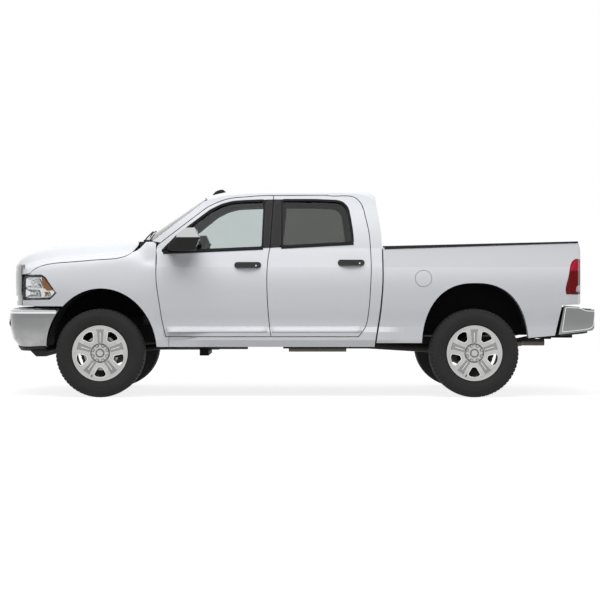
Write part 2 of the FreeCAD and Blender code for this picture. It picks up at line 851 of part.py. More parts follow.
def front_skin(near, far):
    """The skin of hood and fenders in one piece, between two depths."""
    outer = []
    inner = []
    for index, share in enumerate(skin_x_shares):
        x = nose_x + share * nose_length
        points = skin_points(index)
        outer.append(full_row(x, inward(points, near) if near else points))
        inner.append(full_row(x, inward(points, far)))
    return thick_sheet(outer, inner)


def hood_runs(grow):
    """The side outline of the hood, above its shut line."""
    line = placed(hood_line_shares, nose_at)
    top = sill_z + body_height
    start = line[0]
    lamp = nose_at(lamp_outline_shares[0])
    foot = [V(nose_x - overrun, 0, grille_top_z + grow), V(lamp.x - grow, 0, grille_top_z + grow)]
    lamp_edge = [foot[1], V(lamp.x - grow, 0, lamp.z + grow)]
    lip = [lamp_edge[1], V(start.x, 0, start.z + grow)]
    raised = [V(p.x, 0, p.z + grow) for p in line]
    ceiling = [V(raised[-1].x, 0, top), V(nose_x - overrun, 0, top)]
    return [foot, lamp_edge, lip, raised, ceiling]


def hood_prism(grow):
    reach = half_width + overrun
    return side_prism(hood_runs(grow), -reach, reach)


def hood_rear_block(shift):
    """Everything behind the curved rear edge of the hood."""
    z0 = sill_z
    arc = arc_edge(hood_rear_x + shift, z0, hood_rear_side_x + shift, hood_side_y, z0)
    far = arc_edge(cab_rear_x, z0, cab_rear_x + hood_rear_side_x - hood_rear_x, hood_side_y, z0)
    wide = Part.makeRuledSurface(arc, far).extrude(V(0, 0, body_height))
    side = box(hood_rear_side_x + shift, cab_rear_x, -half_width - overrun, half_width + overrun, z0,
               sill_z + body_height)
    return wide.fuse(side)


def hood(skin):
    panel = skin.common(hood_prism(half_gap))
    return panel.cut(hood_rear_block(0.0))


def lamp_prism(grow):
    reach = half_width + overrun
    runs = []
    points = placed(lamp_outline_shares, nose_at)
    for start, end in zip(points, points[1:] + points[:1]):
        runs.append([start, end])
    return side_prism(runs, rail_outer_y, reach, grow)


def fender(skin):
    """The left front fender: the skin below the hood line, outside the lamp and the arch."""
    reach = half_width + overrun
    left = box(nose_x, cab_front_x, -reach, -rail_outer_y, sill_z - overrun, fender_top_z)
    door = side_prism(front_door_runs(), 0.0, reach, half_gap)
    panel = skin.common(left).cut(hood_prism(-half_gap)).cut(front_arch(0.0, reach))
    panel = panel.cut(lamp_prism(half_gap)).cut(door).cut(grille_zone(half_gap))
    ahead = box(nose_x - overrun, front_axle_x, -reach, 0.0, 0.0, fender_strip_z)
    inner = box(front_axle_x, cab_front_x, -cowl_half_width - overrun / 2, 0.0, 0.0, sill_z + body_height)
    rear = flank().cut(door).cut(front_arch(0.0, reach))
    return largest(joined([largest(panel.cut(ahead).cut(inner)), largest(rear)]))


def flank():
    """The skin between the wheel and the slanted front edge of the door."""
    foot = cab_at(rocker_front_shares[0])
    slab = skin_slab(cab_front_x, foot.x - half_gap, 0.0, front_wall, cab_upper)
    return slab.common(box(cab_front_x, foot.x, -half_width - overrun, 0.0, sill_z, flank_top_z))


def largest(shape):
    return sorted(shape.Solids, key=lambda solid: solid.Volume)[-1]


def grille_zone(grow):
    edge = nose_at(lamp_outline_shares[0]).x + grow
    return box(nose_x - overrun, edge, -grille_half_width - overrun, grille_half_width + overrun, 0.0,
               grille_top_z + grow)


def headlamp():
    lens = front_skin(0.0, lamp_depth)
    return largest(lens.common(lamp_prism(-half_gap / 4)))


def plan_row(shares, inset, z):
    """A plan curve at one height, moved inward along its own normals."""
    points = [(nose_x + pair[1] * nose_length, pair[0] * half_width) for pair in shares]
    moved = []
    last = len(points) - 1
    for index, point in enumerate(points):
        before = points[max(index - 1, 0)]
        after = points[min(index + 1, last)]
        run = after[0] - before[0]
        rise = after[1] - before[1]
        if index == 0:
            run = 0.0
        size = math.hypot(run, rise)
        moved.append((point[0] + rise / size * inset, point[1] - run / size * inset))
    left = [V(p[0], -p[1], z) for p in reversed(moved)]
    right = [V(p[0], p[1], z) for p in moved[1:]]
    return left + right


def wrapped(shares, levels, base_z, top_z, thickness, tuck):
    outer = []
    inner = []
    for up, depth in levels:
        z = base_z + up * (top_z - base_z)
        outer.append(plan_row(shares, depth * tuck, z))
        inner.append(plan_row(shares, depth * tuck + thickness, z))
    return thick_sheet(outer, inner)


def front_bumper():
    """The chrome bumper: plan curves at several heights, tucked in towards the bottom."""
    rings = []
    for up, depth in bumper_level_shares:
        z = front_bumper_base_z + up * (front_bumper_top_z - front_bumper_base_z)
        tuck = 2 * bumper_thickness * depth
        outer = plan_row(bumper_plan_shares, tuck, z)
        inner = plan_row(bumper_plan_shares, tuck + bumper_thickness, z)
        inner.reverse()
        rings.append(closed([outer, inner]))
    reach = half_width + overrun
    return largest(swept(rings).cut(front_arch(-reach, reach, half_gap)))


def air_dam():
    """The black dam under the front bumper."""
    top = front_bumper_base_z - fit_gap
    front = nose_x + front_overhang / 4
    drop = front_bumper_base_z / 5
    side = [V(front, 0, top), V(front + drop, 0, top - drop), V(front + 2 * drop, 0, top - drop),
            V(front + 2 * drop, 0, top - drop / 2), V(front + drop, 0, top)]
    runs = [[one, other] for one, other in zip(side, side[1:] + side[:1])]
    half = half_width * 0.86
    return side_prism(runs, -half, half)


def grille():
    """A chrome surround with plain horizontal bars."""
    band = wrapped(grille_plan_shares, grille_level_shares, grille_base_z, grille_top_z, grille_depth,
                   grille_depth)
    band = band.common(grille_zone(-half_gap))
    height = grille_top_z - grille_base_z - 2 * grille_rim
    pitch = (height + grille_bar_height) / (grille_bars + 1)
    half = grille_half_width - grille_rim - overrun
    for row in range(grille_bars + 1):
        z0 = grille_base_z + grille_rim + row * pitch
        band = band.cut(box(nose_x - overrun, 0.0, -half, half, z0, z0 + pitch - grille_bar_height))
    return band


def radiator():
    return box(radiator_x, radiator_x + radiator_thickness, -radiator_half_width, radiator_half_width,
               radiator_base_z, radiator_top_z)


def front_liner():
    """The black liner over a front wheel, closed on the engine side above the frame rail."""
    band = front_arch(liner_inner_y, liner_outer_y, 0.0).cut(front_arch(0.0, half_width, -liner_thickness))
    low = box(nose_x, cab_rear_x, -half_width, 0.0, -2 * overrun, sill_z + liner_thickness)
    plate = front_arch(liner_inner_y, liner_inner_y + liner_thickness, -liner_thickness)
    above = tower_top() + liner_thickness
    plate = plate.cut(box(nose_x, cab_rear_x, -half_width, 0.0, -2 * overrun, above))
    return joined([band.cut(low), plate])


def bed_plan():
    """The plan outline of the bed, with its rounded rear corners."""
    points = [(bed_front_x + pair[1] * bed_length, -pair[0] * half_width) for pair in rear_plan_shares]
    front = bed_front_x - bed_length / 4
    points[-1] = (front, -half_width - overrun)
    points.insert(-1, (bed_front_x + bed_length * 0.9, -half_width - overrun))
    points.append((front, 0.0))
    return upright_prism(points, 0.0, sill_z + body_height)


def bed_side_runs():
    runs = [placed(bed_front_shares, bed_at), placed(bed_top_shares, bed_at), placed(bed_tail_shares, bed_at)]
    under = placed(bed_under_shares, bed_at)
    for start, end in zip(under, under[1:]):
        runs.append([start, end])
    return runs


def bed_solid(inner_y):
    """The bed side from its skin to a plane at the given distance from the middle."""
    x0 = bed_front_x - bed_length / 8
    x1 = bed_rear_x + overrun
    upper = (bed_shoulder_shares,)
    top = sill_z + bed_shoulder_shares[-1][1] * body_height
    inner = [[(inner_y, sill_z), (inner_y, top)]]
    block = swept([section(x, skin_runs(ledge_at(x), 0.0, upper), inner) for x in stations(x0, x1)])
    return block.common(side_prism(bed_side_runs(), 0.0, half_width + overrun)).common(bed_plan())


def tail_lamp_prism(grow):
    top = placed(tail_lamp_shares, bed_at)
    end_x = bed_front_x + tail_lamp_end_share * bed_length
    runs = [top, [top[-1], V(end_x, 0, top[-1].z)], [V(end_x, 0, top[-1].z), V(end_x, 0, top[0].z)],
            [V(end_x, 0, top[0].z), top[0]]]
    return side_prism(runs, 0.0, half_width + overrun, grow)


def fuel_hole(radius, depth):
    outer = half_width + overrun
    return rod(V(fuel_door_x, -outer, fuel_door_z), V(fuel_door_x, -half_width + depth, fuel_door_z), radius)


def bed_side():
    """A full-height bed side with its arch, rear post and the seat of its lamp."""
    slab = bed_solid(bed_side_inner_y)
    post = bed_solid(bed_post_inner_y).common(
        box(tailgate_front_x - 2 * overrun, tail_x, -half_width, 0.0, tailgate_base_z, bed_rail_z - overrun / 4))
    panel = joined([slab, post]).cut(tail_lamp_prism(half_gap / 4))
    panel = panel.cut(rear_arch(0.0, half_width + overrun))
    return panel


def fuel_door():
    skin = swept([section(x, skin_runs(0.0, 0.0, (bed_shoulder_shares,)),
                          skin_runs(0.0, fuel_door_thickness, (bed_shoulder_shares,)))
                  for x in (bed_front_x + ledge_fade_start, rear_axle_x)])
    return skin.common(fuel_hole(fuel_door_radius - half_gap, half_width))


def tail_lamp():
    return bed_solid(bed_post_inner_y).common(tail_lamp_prism(-half_gap / 4))


def rail_cap():
    """The black cap along the top of a bed side."""
    start = bed_at(bed_top_shares[0])
    end = bed_at(bed_top_shares[1])
    outer = bed_shoulder_shares[-2][0] * half_width + fit_gap
    side = [V(start.x, 0, start.z + fit_gap), V(end.x, 0, end.z + fit_gap),
            V(end.x, 0, end.z + rail_cap_thickness), V(start.x, 0, start.z + rail_cap_thickness)]
    runs = [[one, other] for one, other in zip(side, side[1:] + side[:1])]
    return side_prism(runs, outer - rail_cap_width, outer)


def wheelhouse_shell(inner_y, outer_y):
    band = rear_arch(inner_y, outer_y, bed_wall_thickness / 2)
    band = band.cut(rear_arch(inner_y + bed_wall_thickness / 2, outer_y, 0.0))
    return band


def cargo_bed():
    """The open box: floor, head wall, two inner walls and two wheelhouses."""
    outer = bed_side_inner_y
    inner = outer - bed_wall_thickness
    rear = tailgate_front_x - panel_gap - overrun / 10
    top = bed_floor_z + bed_floor_thickness
    pieces = [box(bed_head_x, rear, -outer, outer, bed_floor_z, top)]
    pieces.append(box(bed_head_x, bed_head_x + bed_wall_thickness, -outer, outer, bed_floor_z, bed_rail_z))
    wall = box(bed_head_x, rear, -outer, -inner, bed_floor_z, bed_rail_z)
    floor = joined(pieces + [wall, mirrored(wall)])
    hollow = rear_arch(wheelhouse_inner_y, outer)
    low = box(rear_axle_x - bed_length, rear_axle_x + bed_length, -outer, 0.0, -2 * overrun, bed_floor_z)
    house = wheelhouse_shell(wheelhouse_inner_y, outer).cut(low)
    floor = floor.cut(hollow).cut(mirrored(hollow))
    post = box(tailgate_front_x - 2 * overrun - fit_gap, tail_x, -half_width, -bed_post_inner_y + fit_gap, 0.0,
               sill_z + body_height)
    bed = joined([floor, house, mirrored(house)]).cut(above_bed())
    return bed.cut(post).cut(mirrored(post))


def above_bed():
    """Everything above the sloping top line of the bed sides."""
    start, end = placed(bed_top_shares, bed_at)
    front = V(start.x - overrun, 0, start.z)
    rear = V(end.x + overrun, 0, end.z)
    top = sill_z + body_height
    points = [front, start, end, rear, V(rear.x, 0, top), V(front.x, 0, top)]
    runs = [[one, other] for one, other in zip(points, points[1:] + points[:1])]
    return side_prism(runs, -half_width, half_width)


def rear_liner():
    """The black liner over a rear wheel, closed on the frame side above the rail."""
    near = wheelhouse_inner_y + bed_wall_thickness / 2 + fit_gap
    solid = rear_arch(near, bed_side_inner_y - fit_gap, -fit_gap)
    band = solid.cut(rear_arch(near + liner_thickness, half_width, -fit_gap - liner_thickness))
    below = box(nose_x, tail_x, -half_width, 0.0, -2 * overrun, rail_top_z)
    return band.cut(below)


def tailgate():
    rear = tailgate_front_x + tailgate_thickness
    panel = box(tailgate_front_x, rear, -tailgate_half_width, tailgate_half_width, tailgate_base_z,
                tailgate_top_z)
    rim = tailgate_thickness
    recess = box(rear - rim / 4, rear + overrun, -tailgate_half_width + rim, tailgate_half_width - rim,
                 tailgate_base_z + rim, tailgate_top_z - 2 * rim)
    return panel.cut(recess)


def rear_bumper():
    """The step bumper with a deck on top, hollow behind and open below."""
    points = placed(rear_bumper_shares, bed_at)
    runs = [[one, other] for one, other in zip(points, points[1:] + points[:1])]
    solid = side_prism(runs, -half_width, half_width)
    reach = tail_x
    corner = bed_to_tail * 0.6
    plan = [(reach, -half_width * 0.80), (reach - corner / 3, -half_width * 0.93),
            (reach - corner * 1.4, -half_width * 0.992), (0.0, -half_width * 0.992)]
    plan += [(p[0], -p[1]) for p in reversed(plan)]
    solid = solid.common(upright_prism(plan, 0.0, body_height))
    depth = bumper_thickness
    hollow = [V(p.x, 0, p.z) for p in points]
    low = min(p.z for p in hollow)
    high = points[2].z - depth
    inner_y = half_width - 1.5 * depth
    inside = box(rear_bumper_inner_x - 4 * overrun, reach - 2 * depth, -inner_y, inner_y, low - overrun, high)
    behind = box(rear_bumper_inner_x - 4 * overrun, bed_rear_x - depth / 2, -inner_y, inner_y, low - overrun,
                 points[0].z + overrun)
    solid = solid.cut(inside).cut(behind)
    bolt_z = (low + high) / 2
    for side in (-1, 1):
        y = side * plate_bolt_spacing / 2
        solid = solid.cut(rod(V(bed_rear_x, y, bolt_z), V(tail_x + overrun, y, bolt_z), plate_bolt_diameter / 2))
    return solid


def revolve(points):
    """A closed (radius, across) profile turned about the wheel's axle, which runs along Y."""
    wire = polygon([V(radius, across, 0) for radius, across in points])
    return Part.Face(wire).revolve(V(0, 0, 0), V(0, 1, 0), 360)


def wheel():
    """A left wheel at the origin, its outer face towards minus Y."""
    half = rim_width / 2
    lip = rim_flange_thickness
    bed = half - lip
    inner = seat_radius - rim_wall
    barrel = revolve([(rim_radius, -half), (rim_radius, -bed), (seat_radius, -bed), (seat_radius, bed),
                      (rim_radius, bed), (rim_radius, half), (seat_radius - lip, half),
                      (inner, half - 2 * lip), (inner, -bed), (seat_radius, -half)])
    face = wheel_face_depth + wheel_face_thickness
    middle = hub_cap_diameter / 2
    rise = wheel_face_rise
    disc = revolve([(0, -wheel_face_depth), (middle, -wheel_face_depth), (inner + lip / 2, -face + rise),
                    (inner + lip / 2, -face - rise), (window_radius, -face + wheel_dish_depth / 2),
                    (middle, -face), (0, -face)])
    for index in range(wheel_windows):
        disc = disc.cut(wheel_window(270.0 + 360.0 * index / wheel_windows))
    cap = revolve([(0, -face), (middle, -face), (middle - hub_cap_height, -face - hub_cap_height),
                   (hub_dome_diameter / 2, -face - hub_cap_height),
                   (hub_dome_diameter / 2 - lip, -face - hub_dome_height), (0, -face - hub_dome_height)])
    parts = [barrel, disc, cap]
    for index in range(lug_count):
        angle = 2 * math.pi * (index + 0.5) / lug_count
        reach = lug_circle_diameter / 2
        foot = V(reach * math.cos(angle), -face, reach * math.sin(angle))
        tip = V(foot.x, -face - hub_cap_height - lug_height, foot.z)
        parts.append(rod(foot, tip, lug_diameter / 2))
    return joined(parts)


def wheel_window(degrees):
    """A rounded, outward-widening window between two spokes."""
    half = window_width / 2
    low = window_radius - window_height / 2
    high = window_radius + window_height / 2
    mid = window_radius + window_height / 6
    outline = [V(low, 0, -half * 0.35), V(low - 0.04 * window_height, 0, 0), V(low, 0, half * 0.35),
               V(mid - 0.3 * window_height, 0, half * 0.72), V(mid, 0, half * 0.98),
               V(high - 0.16 * window_height, 0, half * 0.92), V(high, 0, half * 0.55),
               V(high + 0.05 * window_height, 0, 0), V(high, 0, -half * 0.55),
               V(high - 0.16 * window_height, 0, -half * 0.92), V(mid, 0, -half * 0.98),
               V(mid - 0.3 * window_height, 0, -half * 0.72)]
    spline = Part.BSplineCurve()
    spline.interpolate(outline, True)
    face = Part.Face(Part.Wire([spline.toShape()]))
    face.translate(V(0, -rim_width, 0))
    tool = face.extrude(V(0, 2 * rim_width, 0))
    tool.rotate(V(0, 0, 0), V(0, 1, 0), -degrees)
    return tool


def tyre():
    bead = tyre_bead_width / 2
    half = tyre_width / 2
    tread = tyre_tread_width / 2
    low = seat_radius + fit_gap
    lip = rim_radius + fit_gap
    side = tyre_radius - lip
    outer = [(lip, bead + rim_flange_thickness / 2), (lip + 0.16 * side, half - 0.14 * (half - bead)),
             (lip + 0.45 * side, half), (lip + 0.75 * side, half - 0.10 * (half - bead)),
             (tyre_radius - tyre_shoulder_drop, tread + 0.1 * (half - tread)), (tyre_radius, tread)]
    left = [(radius, -across) for radius, across in reversed(outer)]
    profile = [(low, bead), (lip, bead)] + outer + left + [(lip, -bead), (low, -bead)]
    return revolve(profile)


def knuckle():
    """A left steering knuckle at the wheel centre: kingpin post, hub and brake disc."""
    pin_y = kingpin_inset
    post = rod(V(0, pin_y, -knuckle_half_height), V(0, pin_y, knuckle_half_height), kingpin_radius)
    hub = rod(V(0, pin_y, 0), V(0, -wheel_face_depth + fit_gap, 0), hub_radius)
    disc = rod(V(0, disc_inset, 0), V(0, disc_inset - disc_thickness, 0), disc_radius)
    caliper = box(hub_radius * 0.8, disc_radius * 1.02, -disc_thickness, disc_inset + disc_thickness,
                  -hub_radius * 0.7, hub_radius * 0.7)
    return joined([post, hub, disc, caliper])


def at_corner(shape, x, right):
    """Puts a left-hand corner piece at its wheel centre, on either side."""
    piece = shape.copy()
    piece.translate(V(x, -half_track, wheel_z))
    return mirrored(piece) if right else piece


def front_axle():
    """The front axle beam with its differential and the yokes that hold the knuckles."""
    reach = half_track - kingpin_inset
    tube = rod(V(front_axle_x, -reach + 2 * kingpin_radius, wheel_z),
               V(front_axle_x, reach - 2 * kingpin_radius, wheel_z), axle_tube_radius)
    ball = Part.makeSphere(differential_radius, V(front_axle_x, front_shaft_y, wheel_z))
    parts = [tube, ball]
    gap = fit_gap
    for side in (-1, 1):
        y = side * reach
        inner = side * (reach - 2.6 * kingpin_radius)
        for up in (-1, 1):
            z0 = wheel_z + up * (knuckle_half_height + gap)
            z1 = wheel_z + up * (knuckle_half_height + gap + yoke_height)
            arm = box(front_axle_x - kingpin_radius, front_axle_x + kingpin_radius,
                      min(y + side * kingpin_radius, inner), max(y + side * kingpin_radius, inner),
                      min(z0, z1), max(z0, z1))
            parts.append(arm)
        web_end = side * (reach - 2 * kingpin_radius)
        web = box(front_axle_x - kingpin_radius, front_axle_x + kingpin_radius, min(inner, web_end),
                  max(inner, web_end), wheel_z - knuckle_half_height - yoke_height,
                  wheel_z + knuckle_half_height + yoke_height)
        parts.append(web)
    return joined(parts)


def rear_axle():
    reach = half_track + wheel_face_depth - fit_gap
    tube = rod(V(rear_axle_x, -reach, wheel_z), V(rear_axle_x, reach, wheel_z), axle_tube_radius)
    parts = [tube, Part.makeSphere(differential_radius, V(rear_axle_x, 0, wheel_z))]
    for side in (-1, 1):
        y = side * half_track
        parts.append(rod(V(rear_axle_x, y - disc_thickness / 2, wheel_z),
                         V(rear_axle_x, y + disc_thickness / 2, wheel_z), disc_radius))
    return joined(parts)


def chassis_frame():
    """Two rails with a raised rear and the cross members between them."""
    kick_end = rail_kick_x + rail_kick_length
    low = [V(rail_front_x, 0, rail_base_z), V(rail_kick_x, 0, rail_base_z),
           V(kick_end, 0, rail_base_z + rail_kick_height), V(rail_rear_x, 0, rail_base_z + rail_kick_height)]
    high = [V(rail_rear_x, 0, rail_top_z + rail_kick_height), V(kick_end, 0, rail_top_z + rail_kick_height),
            V(rail_kick_x, 0, rail_top_z), V(rail_front_x, 0, rail_top_z)]
    points = low + high
    runs = [[one, other] for one, other in zip(points, points[1:] + points[:1])]
    rail = side_prism(runs, rail_inner_y, rail_outer_y)
    parts = [rail, mirrored(rail)]
    half = rail_inner_y - fit_gap
    for x, lift in cross_member_places():
        z1 = rail_top_z + lift
        parts.append(box(x, x + cross_member_width, -half, half, z1 - cross_member_height, z1))
    parts.append(gearbox_member())
    return Part.makeCompound(parts)


def cross_member_places():
    """The front face of each cross member, with its rise above the front of the frame."""
    return ((rail_front_x, 0.0), (0.0, 0.0), (rail_kick_x - cross_member_width, 0.0),
            (rear_axle_x - 3.3 * differential_radius, rail_kick_height),
            (rear_axle_x + 1.6 * differential_radius, rail_kick_height),
            (rail_rear_x - cross_member_width, rail_kick_height))


def gearbox_member():
    """The dropped member that carries the gearbox from below."""
    gearbox_end = engine_front_x + engine_length + gearbox_length
    x = gearbox_end - 2 * cross_member_width
    top = driveline_z - gearbox_radius - fit_gap
    base = top - gearbox_member_height
    half = rail_inner_y - fit_gap
    parts = [box(x, x + cross_member_width, -half, half, base, top)]
    for side in (-1, 1):
        near = side * (half - gearbox_member_height)
        far = side * half
        parts.append(box(x, x + cross_member_width, min(near, far), max(near, far), base, rail_top_z))
    return joined(parts)


def receiver():
    """The square hitch socket under the rear bumper with its pin hole, and the beam that holds it."""
    outer = receiver_bore / 2 + receiver_wall
    inner = receiver_bore / 2
    front = receiver_rear_x - receiver_length
    tube = box(front, receiver_rear_x, -outer, outer, receiver_z - outer, receiver_z + outer)
    tube = tube.cut(box(front + receiver_wall, receiver_rear_x + overrun, -inner, inner, receiver_z - inner,
                        receiver_z + inner))
    pin_x = receiver_rear_x - hitch_pin_setback
    pin = rod(V(pin_x, -outer - overrun, receiver_z), V(pin_x, outer + overrun, receiver_z),
              hitch_pin_diameter / 2)
    base = rail_base_z + rail_kick_height - fit_gap
    beam = box(front - cross_member_width, front - fit_gap, -rail_outer_y, rail_outer_y, receiver_z - outer, base)
    return Part.makeCompound([tube.cut(pin), beam])


def engine_block():
    return box(engine_front_x, engine_front_x + engine_length, -engine_width / 2, engine_width / 2,
               engine_base_z, engine_base_z + engine_height)


def driveline():
    """Gearbox, transfer case and the two propeller shafts."""
    start = engine_front_x + engine_length + fit_gap
    end = start + gearbox_length
    z_out = driveline_z
    parts = [rod(V(start, 0, z_out), V(end, 0, z_out), gearbox_radius)]
    parts.append(rod(V(end, 0, z_out), V(end + transfer_length, 0, z_out), transfer_radius))
    parts.append(rod(V(end + transfer_length, 0, z_out),
                     V(rear_axle_x - differential_radius - fit_gap, 0, wheel_z), shaft_radius))
    front_y = front_shaft_y
    parts.append(box(end, end + transfer_length / 2, 0.0, front_y + front_shaft_radius, z_out - overrun,
                     z_out + overrun))
    parts.append(rod(V(end, front_y, z_out), V(front_axle_x + differential_radius + front_shaft_gap, front_y, wheel_z),
                     front_shaft_radius))
    return joined(parts)


def leaf_spring():
    """A rear leaf spring under its rail, clamped on the axle."""
    half = spring_half_length
    base = wheel_z + axle_tube_radius + fit_gap
    rise = spring_rise
    low = [V(rear_axle_x - half, 0, base + rise), V(rear_axle_x - half / 2, 0, base + rise / 4),
           V(rear_axle_x, 0, base), V(rear_axle_x + half / 2, 0, base + rise / 4),
           V(rear_axle_x + half, 0, base + rise)]
    high = [V(p.x, 0, p.z + spring_thickness) for p in reversed(low)]
    spring = side_prism([low, high], spring_y - spring_width / 2, spring_y + spring_width / 2)
    parts = [spring]
    for end in (-1, 1):
        x = rear_axle_x + end * (half - spring_thickness)
        z = base + rise + spring_thickness / 2
        parts.append(box(x - spring_thickness, x + spring_thickness, -spring_y - spring_width / 2,
                         -rail_outer_y, z, z + 2 * spring_thickness))
    return joined(parts)


def front_coil():
    """A front coil and its tower, standing on the axle beside the rail."""
    base = wheel_z + axle_tube_radius + fit_gap
    top = tower_top()
    coil = rod(V(front_axle_x, -coil_y, base), V(front_axle_x, -coil_y, top), coil_radius)
    tower = box(front_axle_x - coil_radius, front_axle_x + coil_radius, -coil_y, -rail_outer_y,
                top - spring_thickness, top)
    return joined([coil, tower])


def tower_top():
    return rail_top_z + 2 * spring_thickness


def control_arm():
    """The arm that holds the front axle back to the rail."""
    y = (rail_inner_y + rail_outer_y) / 2
    start = V(front_axle_x + axle_tube_radius + fit_gap + damper_radius, -y, wheel_z)
    end = V(front_axle_x + spring_half_length, -y, rail_base_z - damper_radius - fit_gap)
    foot = box(start.x - damper_radius, start.x + damper_radius, -y - damper_radius, -y + damper_radius,
               wheel_z - damper_radius, wheel_z + damper_radius)
    head = box(end.x - damper_radius, end.x + damper_radius, -y - damper_radius, -y + damper_radius,
               end.z - damper_radius, rail_base_z)
    return joined([rod(start, end, damper_radius), foot, head])


def suspension():
    parts = []
    for piece in (leaf_spring(), front_coil(), control_arm()):
        parts += [piece, mirrored(piece)]
    return Part.makeCompound(parts)


def exhaust():
    """A pipe with its muffler on the right side, led over the rear axle to the rear corner."""
    z = rail_base_z - muffler_radius / 2
    y = exhaust_y
    start = cab_front_x + cab_length / 4
    muffler_x = start + cab_length / 3
    kick = rear_axle_x - spring_half_length - overrun
    parts = [rod(V(start, y, z), V(muffler_x, y, z), exhaust_radius),
             rod(V(muffler_x, y, z), V(muffler_x + muffler_length, y, z), muffler_radius),
             rod(V(muffler_x + muffler_length, y, z), V(kick - 2 * overrun, y, z), exhaust_radius)]
    route = [V(kick - 2 * overrun, y, z), V(kick, tail_pipe_y, z),
             V(rear_axle_x - spring_half_length / 2, tail_pipe_y, tail_pipe_z),
             V(rear_axle_x + spring_half_length / 2, tail_pipe_y, tail_pipe_z),
             V(rear_axle_x + spring_half_length, tail_pipe_y, tail_pipe_end_z),
             V(tail_pipe_end_x - muffler_length / 2, tail_pipe_end_y, tail_pipe_end_z),
             V(tail_pipe_end_x, tail_pipe_end_y, tail_pipe_end_z)]
    for bend, following in zip(route, route[1:]):
        parts.append(rod(bend, following, exhaust_radius))
        parts.append(Part.makeSphere(exhaust_radius, bend))
    bore = rod(route[-2], V(tail_pipe_end_x + overrun, tail_pipe_end_y, tail_pipe_end_z), exhaust_radius * 0.9)
    return joined(parts).cut(bore)


def fuel_tank():
    tank = box(tank_front_x, tank_front_x + tank_length, -tank_outer_y, -tank_inner_y, tank_base_z,
               tank_base_z + tank_height)
    strap = box(tank_front_x + tank_length / 4, tank_front_x + tank_length / 3, -tank_inner_y,
                -rail_outer_y, tank_base_z + tank_height / 2, tank_base_z + tank_height / 1.3)
    return joined([tank, strap])


def seat(x, half, base_z):
    """A seat: cushion on its plinth, leaning back rest and head rest."""
    top = base_z + seat_base_height
    cushion_top = top + seat_cushion_height
    plinth = box(x - seat_cushion_length / 3, x + seat_cushion_length / 3, -half * 0.8, half * 0.8, base_z, top)
    cushion = box(x - seat_cushion_length / 2, x + seat_cushion_length / 2, -half, half, top, cushion_top)
    back_x = x + seat_cushion_length / 2 - seat_back_thickness / 2
    lean = seat_lean
    back = [V(back_x, 0, cushion_top - seat_cushion_height / 2), V(back_x + seat_back_thickness, 0, top),
            V(back_x + seat_back_thickness + lean, 0, cushion_top + seat_back_height),
            V(back_x + lean + seat_back_thickness / 4, 0, cushion_top + seat_back_height)]
    runs = [[one, other] for one, other in zip(back, back[1:] + back[:1])]
    rest = side_prism(runs, -half, half)
    return [plinth, cushion, rest], back_x + lean + seat_back_thickness / 2, cushion_top + seat_back_height


def headrest(x, y, z):
    half = headrest_width / 2
    drop = headrest_height / 8
    return box(x - headrest_thickness / 2, x + headrest_thickness / 2, y - half, y + half, z - drop,
               z + headrest_height)


def seats():
    floor = cab_floor_z + cab_floor_thickness
    result = []
    for side in (-1, 1):
        pieces, head_x, head_z = seat(front_seat_x, seat_width / 2, floor)
        pieces.append(headrest(head_x, 0.0, head_z))
        chair = joined(pieces)
        chair.translate(V(0, side * seat_y, 0))
        result.append(chair)
    pieces, head_x, head_z = seat(rear_seat_x, rear_seat_half_width, floor)
    for side in (-1, 1):
        pieces.append(headrest(head_x, side * seat_y, head_z - headrest_height / 2))
    result.append(joined(pieces).common(cabin_space()))
    return Part.makeCompound(result)


def steering_rim():
    """The rim of the steering wheel about the Y axis, with a six-sided section."""
    points = []
    for step in range(6):
        angle = math.pi * step / 3
        points.append((steering_wheel_radius + steering_rim_radius * math.cos(angle),
                       steering_rim_radius * math.sin(angle)))
    return revolve(points)


def dashboard():
    """The dashboard with its steering column and wheel."""
    front = firewall_x + firewall_thickness
    rear = front + dash_depth
    side = [V(front, 0, dash_base_z), V(rear - dash_depth / 4, 0, dash_base_z),
            V(rear, 0, dash_top_z - dash_depth / 2), V(rear - dash_depth / 5, 0, dash_top_z),
            V(front, 0, dash_top_z)]
    runs = [[one, other] for one, other in zip(side, side[1:] + side[:1])]
    panel = side_prism(runs, -dash_half_width, dash_half_width)
    centre = V(steering_wheel_x, steering_wheel_y, steering_wheel_z)
    axis = V(-1, 0, -steering_tilt_share)
    axis.normalize()
    rim = steering_rim()
    rim.Placement = FreeCAD.Placement(centre, FreeCAD.Rotation(V(0, 1, 0), axis))
    column_end = centre.add(V(axis).multiply(dash_depth))
    column = rod(centre, column_end, steering_column_radius)
    parts = [panel, rim, column]
    for turn in (0, 120, 240):
        spoke = rod(centre, centre.add(V(0, steering_wheel_radius, 0)), steering_rim_radius)
        spoke.rotate(centre, axis, turn + 90)
        parts.append(spoke)
    return joined(parts)


def mirror(sail):
    """A towing mirror head on a short arm from the black corner plate of the window."""
    points = placed(mirror_outline_shares, cab_at)
    runs = [[one, other] for one, other in zip(points, points[1:] + points[:1])]
    head = side_prism(runs, mirror_inner_y, mirror_outer_y)
    head = head.makeFillet(mirror_round, head.Edges)
    low = cab_at(mirror_arm_share)
    arm = box(low.x, low.x + 1.6 * mirror_arm_height, -mirror_inner_y - 2 * mirror_round, -mirror_arm_y,
              low.z, low.z + mirror_arm_height)
    return joined([head, arm, sail])


def before_sail(shift):
    """The space ahead of the upright bar between the window's corner plate and its glass."""
    return box(cab_front_x - overrun, sail_edge_x + shift, -half_width - overrun, 0.0, sill_z,
               sill_z + body_height)


def save(name, shape):
    shape.exportStep(os.path.join("parts", name + ".step"))
    solids = shape.Solids
    print(name, len(solids), round(sum(solid.Volume for solid in solids) / 1e9, 4), shape.isValid())


